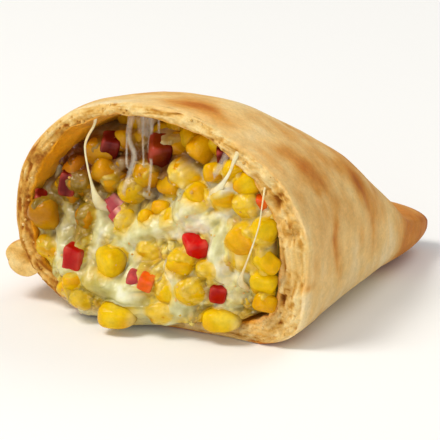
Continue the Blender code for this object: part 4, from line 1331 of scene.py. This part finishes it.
# The front bends round to its edge, and the side runs in along the case
near_brim = np.clip((front_share - 0.95) / 0.05, 0, 1)
roundness = 1 - np.sqrt(1 - near_brim**2)
front_y = front_y * (1 - roundness) + brim_depth * roundness
cheese_front = np.stack([front_x, front_y, front_z], axis=-1)
side_end = (HOLLOW_LENGTH - FILLING_GAP) * 0.995
inwards = np.sin(0.5 * math.pi * np.linspace(0, 1, SIDE_RINGS))[:, None]
cheese_side = along_the_case(edge_depth + (side_end - edge_depth) * inwards)

# Pale where it is pure, and grained yellow where corn is mashed into it or a kernel shows through.  Painted
# shade darkens it between the grains, in the crevices, behind the rim and under the roof, and painted light
# pales the bottom lip.
GRAIN_CODES = ("#c08c06", "#dcb41e", "#e8cf58", "#efe6b0")
GRAIN_STOPS = (0, 0.4, 0.7, 1)
PURE_CODES = ("#b2a656", "#e2dfa8", "#fbfae6")
PURE_ZONES = ((0.22, (-6, 4), None, (8, 16)), (-0.45, (-4, -9), None, (13, 9)))
# Painted light at the bottom lip, as if thrown up from the table: how much, and the limits along x and z
LIP_BOUNCE_LIGHT = (0.7, (4, -6), None, (5, 1.5))
grain_tint = tinted(0.6 * grain_level + 0.4 * fine_level, GRAIN_CODES, GRAIN_STOPS)
# Painted shade darkens the gaps between the grains.
grain_tint = mixed(linear("#8d7310"), grain_tint, 0.25 + 0.75 * smoothstep(0, 0.6, grain_height))
pure_share = 0.4 + cloudy(front_places, (0.5, 3.4, 84, 2), (0.25, 1.1, 86)) + zoned(front_places, *PURE_ZONES)
# Painted shade in the crevices, weaker near the bottom.
crevice_shade = smoothstep(-0.2, 1.7, front_y - filling_front(front_x, front_z))
seen_through = np.exp(-np.maximum(film_thickness, 0) / 1.4) * (film_thickness < 0.5 * FAR)
cheese_tint = stained(
    mixed(tinted(pure_share, PURE_CODES), grain_tint, 0.95 * grained),
    ("#6c4608", 0.85 * crevice_shade * (1 - 0.5 * smoothstep(9, 5, front_z))),
    ("#e2dab0", zoned(front_places, LIP_BOUNCE_LIGHT)),
    ("#ebc008", 0.96 * seen_through),
    # Painted shade behind the rim and under the roof, less on the streams.
    ("#6a4a12", 0.82 * behind_the_rim(cheese_front) * (1 - 0.5 * stream_share)),
    ("#6e300a", 0.93 * under_the_roof(cheese_front) * (1 - 0.55 * stream_share)),
)
side_tint = np.broadcast_to(linear("#cdb549"), cheese_side.shape)
# Melted cheese: wet with its own fat, smooth and glossy, and cloudy white in the depth
melted_cheese = food_material(
    "melted_white_cheese",
    tones=((2.6, 0.1), (0.9, 0.1)),
    bumps=((1.5, 0.18), (0.5, 0.11)),
    Roughness=0.14,
    IOR=1.45,
    Subsurface_Weight=0.25,
    Subsurface_Radius=(0.0022, 0.0018, 0.0008),
)
cheese = mesh_piece(
    "melted_cheese",
    np.concatenate([cheese_front, cheese_side])[::-1][None],
    np.concatenate([cheese_tint, side_tint])[::-1][None],
    [melted_cheese],
)
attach(cheese, "root")
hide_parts("filling")

# The cheese strings
# Where the halves were pulled apart the melted cheese drew out into strings.  Each one spreads where it
# sticks at its two ends.
STRING_RINGS = 40
STRING_SIDES = 8

# Each string is a line of (x, y, z, half-width), with how thick it is for its width
STRINGS = (
    (((-16, 2, 44.6, 0.5), (-16.2, 1.4, 42.2, 0.34), (-17.4, 0.4, 39.3, 0.3), (-17.6, -0.2, 37.1, 0.26),
      (-16.8, -0.6, 33.4, 0.26), (-15.9, -0.6, 30, 0.36), (-15.3, -0.2, 27.4, 0.8),
      (-14.9, 0.8, 25.2, 1.4), (-14.6, 3.6, 22.8, 2.2)), 0.6),
    (((25.6, 0.6, 36.6, 0.5), (25.2, 0, 34.8, 0.26), (25.8, -2.4, 31.8, 0.18), (25.8, -3.8, 27.8, 0.15),
      (24.6, -4.8, 22.8, 0.18), (22.6, -4.8, 17.4, 0.3), (21.4, -3.4, 14.9, 0.8),
      (20.6, -0.8, 13, 1.4), (20, 2.4, 11.8, 2)), 0.6),
    (((19, 0.4, 42.2, 0.7), (18.4, -1.2, 39.6, 0.4), (17.9, -1.8, 37.7, 0.34), (16.6, -1.8, 35.5, 0.45),
      (15.3, -1.4, 33.6, 0.9), (13.9, -0.4, 31.8, 1.5), (12.2, 2.4, 29.8, 2.1)), 0.55),
)


def string_rings(line, thinness):
    """A string or a veil as rings along a smooth line through its places, each place a blend of its four
    neighbours by Catmull and Rom's cubic.  Each ring is an oval, wide across the cut and thin along y."""
    keys = np.array([line[0], *line, line[-1]], dtype=float)
    at = np.linspace(0, len(line) - 1, STRING_RINGS)
    low = np.minimum(at.astype(int), len(line) - 2)
    t = (at - low)[:, None]
    first, second, third, fourth = (keys[low + i] for i in range(4))
    bend = 2 * first - 5 * second + 4 * third - fourth + t * (3 * (second - third) + fourth - first)
    path = second + 0.5 * t * (third - first + t * bend)
    place, half = path[:, :3], np.maximum(path[:, 3:], 0.06)
    ahead = np.gradient(place, axis=0)
    ahead /= np.linalg.norm(ahead, axis=1, keepdims=True)
    sideways = np.cross(ahead, (0, 1, 0))
    sideways /= np.linalg.norm(sideways, axis=1, keepdims=True)
    inwards = np.cross(ahead, sideways)
    turn = around(STRING_SIDES)
    wide = (half * np.cos(turn))[..., None] * sideways[:, None, :]
    thin = (thinness * half * np.sin(turn))[..., None] * inwards[:, None, :]
    rings = place[:, None, :] + wide + thin
    return rings + (wide + thin) * cloudy(rings, (0.15, 2.2, 80, 2))[..., None]


string_tubes = np.stack([string_rings(line, thinness) for line, thinness in STRINGS])
string_tint = tinted(0.5 + cloudy(string_tubes, (0.5, 3, 81, 2)), ("#e3bf80", "#ede0ae", "#f3efd2"))
strings = mesh_piece("cheese_strings", string_tubes, string_tint, [melted_cheese])
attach(strings, "root")

# The cheese veil
# The same cheese drawn out into bands thin enough to see through, which hang from the roof into the air
# pocket.  They are cloudy, and denser along the middle, where a second band lies in each.
VEILS = (
    (((-8.6, 4.8, 46.6, 1.4), (-8.7, 4.5, 44.2, 0.9), (-9, 4, 42, 0.7), (-8.6, 2.8, 39.5, 0.7),
      (-6.8, 1.8, 36.8, 0.75), (-6.9, 0.2, 33.4, 0.7), (-8.3, -0.2, 28.9, 0.6),
      (-10, 4.6, 25.6, 0.8)), 0.35),
    (((-4.5, 4.8, 46.6, 1.3), (-4.2, 4.4, 44.4, 0.7), (-3.7, 3.8, 42, 0.5), (-3.7, 2.6, 39, 0.45),
      (-2.4, 1.2, 36, 0.4), (-1.9, -0.2, 32.5, 0.35), (-2.8, 1, 29.4, 0.5),
      (-3.4, 5, 27.6, 0.6)), 0.35),
    (((-6.4, 6.4, 46.6, 3.4), (-6.5, 6.3, 44, 2.8), (-6.4, 6, 41, 2), (-6, 5.4, 38, 1.4)), 0.06),
    (((-10, 5.6, 46.2, 0.8), (-9.9, 5.2, 43.6, 0.4), (-10, 4.4, 40.4, 0.3), (-9.3, 3, 37, 0.3),
      (-8.8, 2.4, 33.6, 0.4), (-8.8, 6, 31.6, 0.6)), 0.4),
    (((-5.9, 4.2, 46.6, 0.9), (-5.8, 4, 43.8, 0.4), (-5.6, 3.4, 40.6, 0.3), (-4.9, 2.4, 36.4, 0.25),
      (-4.4, 2, 33.2, 0.4), (-4.2, 6, 31.4, 0.6)), 0.4),
    (((-3, 5.8, 46.6, 0.7), (-2.8, 5.4, 43.6, 0.35), (-2.2, 4.4, 40, 0.3), (-1.4, 3.4, 36, 0.3),
      (-0.9, 7, 32.6, 0.5)), 0.4),
    (((17.4, 2.2, 43.4, 1.2), (16, 0.6, 40.7, 0.9), (14.4, -0.4, 37.3, 0.7), (11.6, 0.6, 33.7, 0.6),
      (10.4, 3.2, 31.6, 0.8)), 0.15),
)
VEIL_CORE = 0.5

# Cheese drawn thin: a dull, moist film that the light comes through
drawn_cheese = food_material(
    "drawn_thin_cheese",
    tones=((1.4, 0.2),),
    bumps=((1, 0.1),),
    Roughness=0.25,
    IOR=1.4,
    Alpha=0.13,
)
veil_tubes = np.stack([string_rings(line, thinness) for line, thinness in VEILS])
veil_middle = veil_tubes.mean(axis=2, keepdims=True)
veil_tubes = np.concatenate([veil_tubes, veil_middle + VEIL_CORE * (veil_tubes - veil_middle)])
veil_tint = tinted(0.5 + cloudy(veil_tubes, (0.5, 3, 82, 2)), ("#e8d2b8", "#f2e6cc", "#faf4e2"))
veil = mesh_piece("cheese_veil", veil_tubes, veil_tint, [drawn_cheese])
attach(veil, "root")

# The crumbs
# Flakes and crumbs that the crust shed when it was cut.  They cling to its broken rim and lie scattered
# over the wet filling.
CRUMB_RINGS = 4
CRUMB_SIDES = 6
CRUMBS_ON_RIM = 110
CRUMBS_ON_FILLING = 70
CRUMB_HALF = (0.18, 0.42)
CRUMB_STRETCH = (0.4, 1.2)
CRUMB_JAGS = (0.35, 0.5, 90)

rim_pick = draw.integers(9, RIM_RINGS - 8, CRUMBS_ON_RIM), draw.integers(0, CASE_AROUND, CRUMBS_ON_RIM)
inner_part = np.argwhere(front_share[:, 0] < 0.93)[-1, 0]
ring_pick = draw.integers(20, inner_part, CRUMBS_ON_FILLING)
side_pick = draw.integers(0, CHEESE_SIDES, CRUMBS_ON_FILLING)
shown_front = np.stack([front_x, np.minimum(front_y, under_film), front_z], axis=-1)
filling_places = shown_front[ring_pick, side_pick]
crumb_places = np.concatenate([case_rim[rim_pick] + (0, 0.05, 0), filling_places])
count = len(crumb_places)
crumb_turn = turned(*draw.uniform(0, 2 * math.pi, (3, count)))
crumb_half = draw.uniform(*CRUMB_HALF, (count, 1)) * draw.uniform(*CRUMB_STRETCH, (count, 3))
crumb_rings = strewn(ball(CRUMB_RINGS, CRUMB_SIDES), crumb_turn, crumb_half, crumb_places, 5, CRUMB_JAGS)
crumb_level = draw.uniform(0.3, 0.85, (count, 1, 1)) + cloudy(crumb_rings, (0.1, 0.8, 91))
crumb_tint = tinted(crumb_level, CRUMB_CODES, CRUMB_STOPS)
# Painted shade browns the crumbs under the roof.
crumb_tint = stained(crumb_tint, ("#7c4a12", 0.85 * under_the_roof(crumb_rings)))
crumbs = mesh_piece("crumbs", crumb_rings, crumb_tint, [broken_crumb])
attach(crumbs, "root")

# The table, the light and the camera
# A white sweep under a large soft light from the upper left, as for a plain product picture.
TABLE_HALF_SIDE = 4
TABLE_DROP = 0.05
SQUARE = ((-1, -1), (1, -1), (1, 1), (-1, 1))
table_corners = [(x * TABLE_HALF_SIDE, y * TABLE_HALF_SIDE, -TABLE_DROP * METRES) for x, y in SQUARE]
table_mesh = bpy.data.meshes.new("table")
table_mesh.from_pydata(table_corners, [], [(0, 1, 2, 3)])
table_material = bpy.data.materials.new("white_card")
table_material.use_nodes = True
card = table_material.node_tree.nodes["Principled BSDF"]
card.inputs["Base Color"].default_value = (*linear("#f7f7f5"), 1)
card.inputs["Roughness"].default_value = 0.9
table_mesh.materials.append(table_material)
table = in_scene("table", table_mesh)

# Each light's place, its side in metres, its watts and its colour
LIGHTS = (
    ("key", (-0.36, -0.44, 0.92), 0.42, 7.4, "#fffaf2"),
    ("front fill", (0.3, -0.97, 0.22), 0.7, 3.2, "#ffffff"),
    ("back rim", (0.25, 0.7, 0.75), 0.6, 2.2, "#ffffff"),
)
ROOM_LIGHT = 0.42
for light_name, light_place, light_size, light_power, light_code in LIGHTS:
    lamp = bpy.data.lights.new(light_name, "AREA")
    lamp.size = light_size
    lamp.energy = light_power
    lamp.color = linear(light_code)
    lamp_object = in_scene(light_name, lamp)
    lamp_object.location = light_place
    lamp_object.rotation_euler = Vector(light_place).to_track_quat("Z", "Y").to_euler()

world = bpy.data.worlds.new("white room")
bpy.context.scene.world = world
world.use_nodes = True
room = world.node_tree.nodes["Background"]
room.inputs["Color"].default_value = (1, 1, 1, 1)
room.inputs["Strength"].default_value = ROOM_LIGHT
bpy.context.scene.view_settings.view_transform = "Standard"

# The camera looks at the cut from the photograph's angle.  One point of the cut's lower corner lies on
# a known pixel of the picture, and a pixel there is that many millimetres wide
CAMERA_AZIMUTH = math.radians(28)
CAMERA_ELEVATION = math.radians(18.6)
CAMERA_DISTANCE = 0.9
PICTURE_SIDE = 440
ANCHOR = np.array([25.6, 0, 0])
ANCHOR_PIXEL = (266, 346)
PIXEL_WIDTH = 0.21
SENSOR_WIDTH = 36

azimuth_sine, azimuth_cosine = math.sin(CAMERA_AZIMUTH), math.cos(CAMERA_AZIMUTH)
level = math.cos(CAMERA_ELEVATION)
toward_camera = np.array([azimuth_sine * level, -azimuth_cosine * level, math.sin(CAMERA_ELEVATION)])
to_the_right = np.array([azimuth_cosine, azimuth_sine, 0])
upwards = np.cross(toward_camera, to_the_right)
right_of_middle = (ANCHOR_PIXEL[0] - PICTURE_SIDE / 2) * PIXEL_WIDTH * METRES
above_middle = (PICTURE_SIDE / 2 - ANCHOR_PIXEL[1]) * PIXEL_WIDTH * METRES
camera_place = (ANCHOR + CUT_IN_FRAME) * METRES + toward_camera * CAMERA_DISTANCE
camera_data = bpy.data.cameras.new("camera")
camera_data.sensor_width = SENSOR_WIDTH
camera_data.lens = SENSOR_WIDTH * CAMERA_DISTANCE / (PICTURE_SIDE * PIXEL_WIDTH * METRES)
camera = in_scene("camera", camera_data)
camera.location = camera_place - to_the_right * right_of_middle - upwards * above_middle
camera.rotation_euler = (math.pi / 2 - CAMERA_ELEVATION, 0, CAMERA_AZIMUTH)
bpy.context.scene.camera = camera
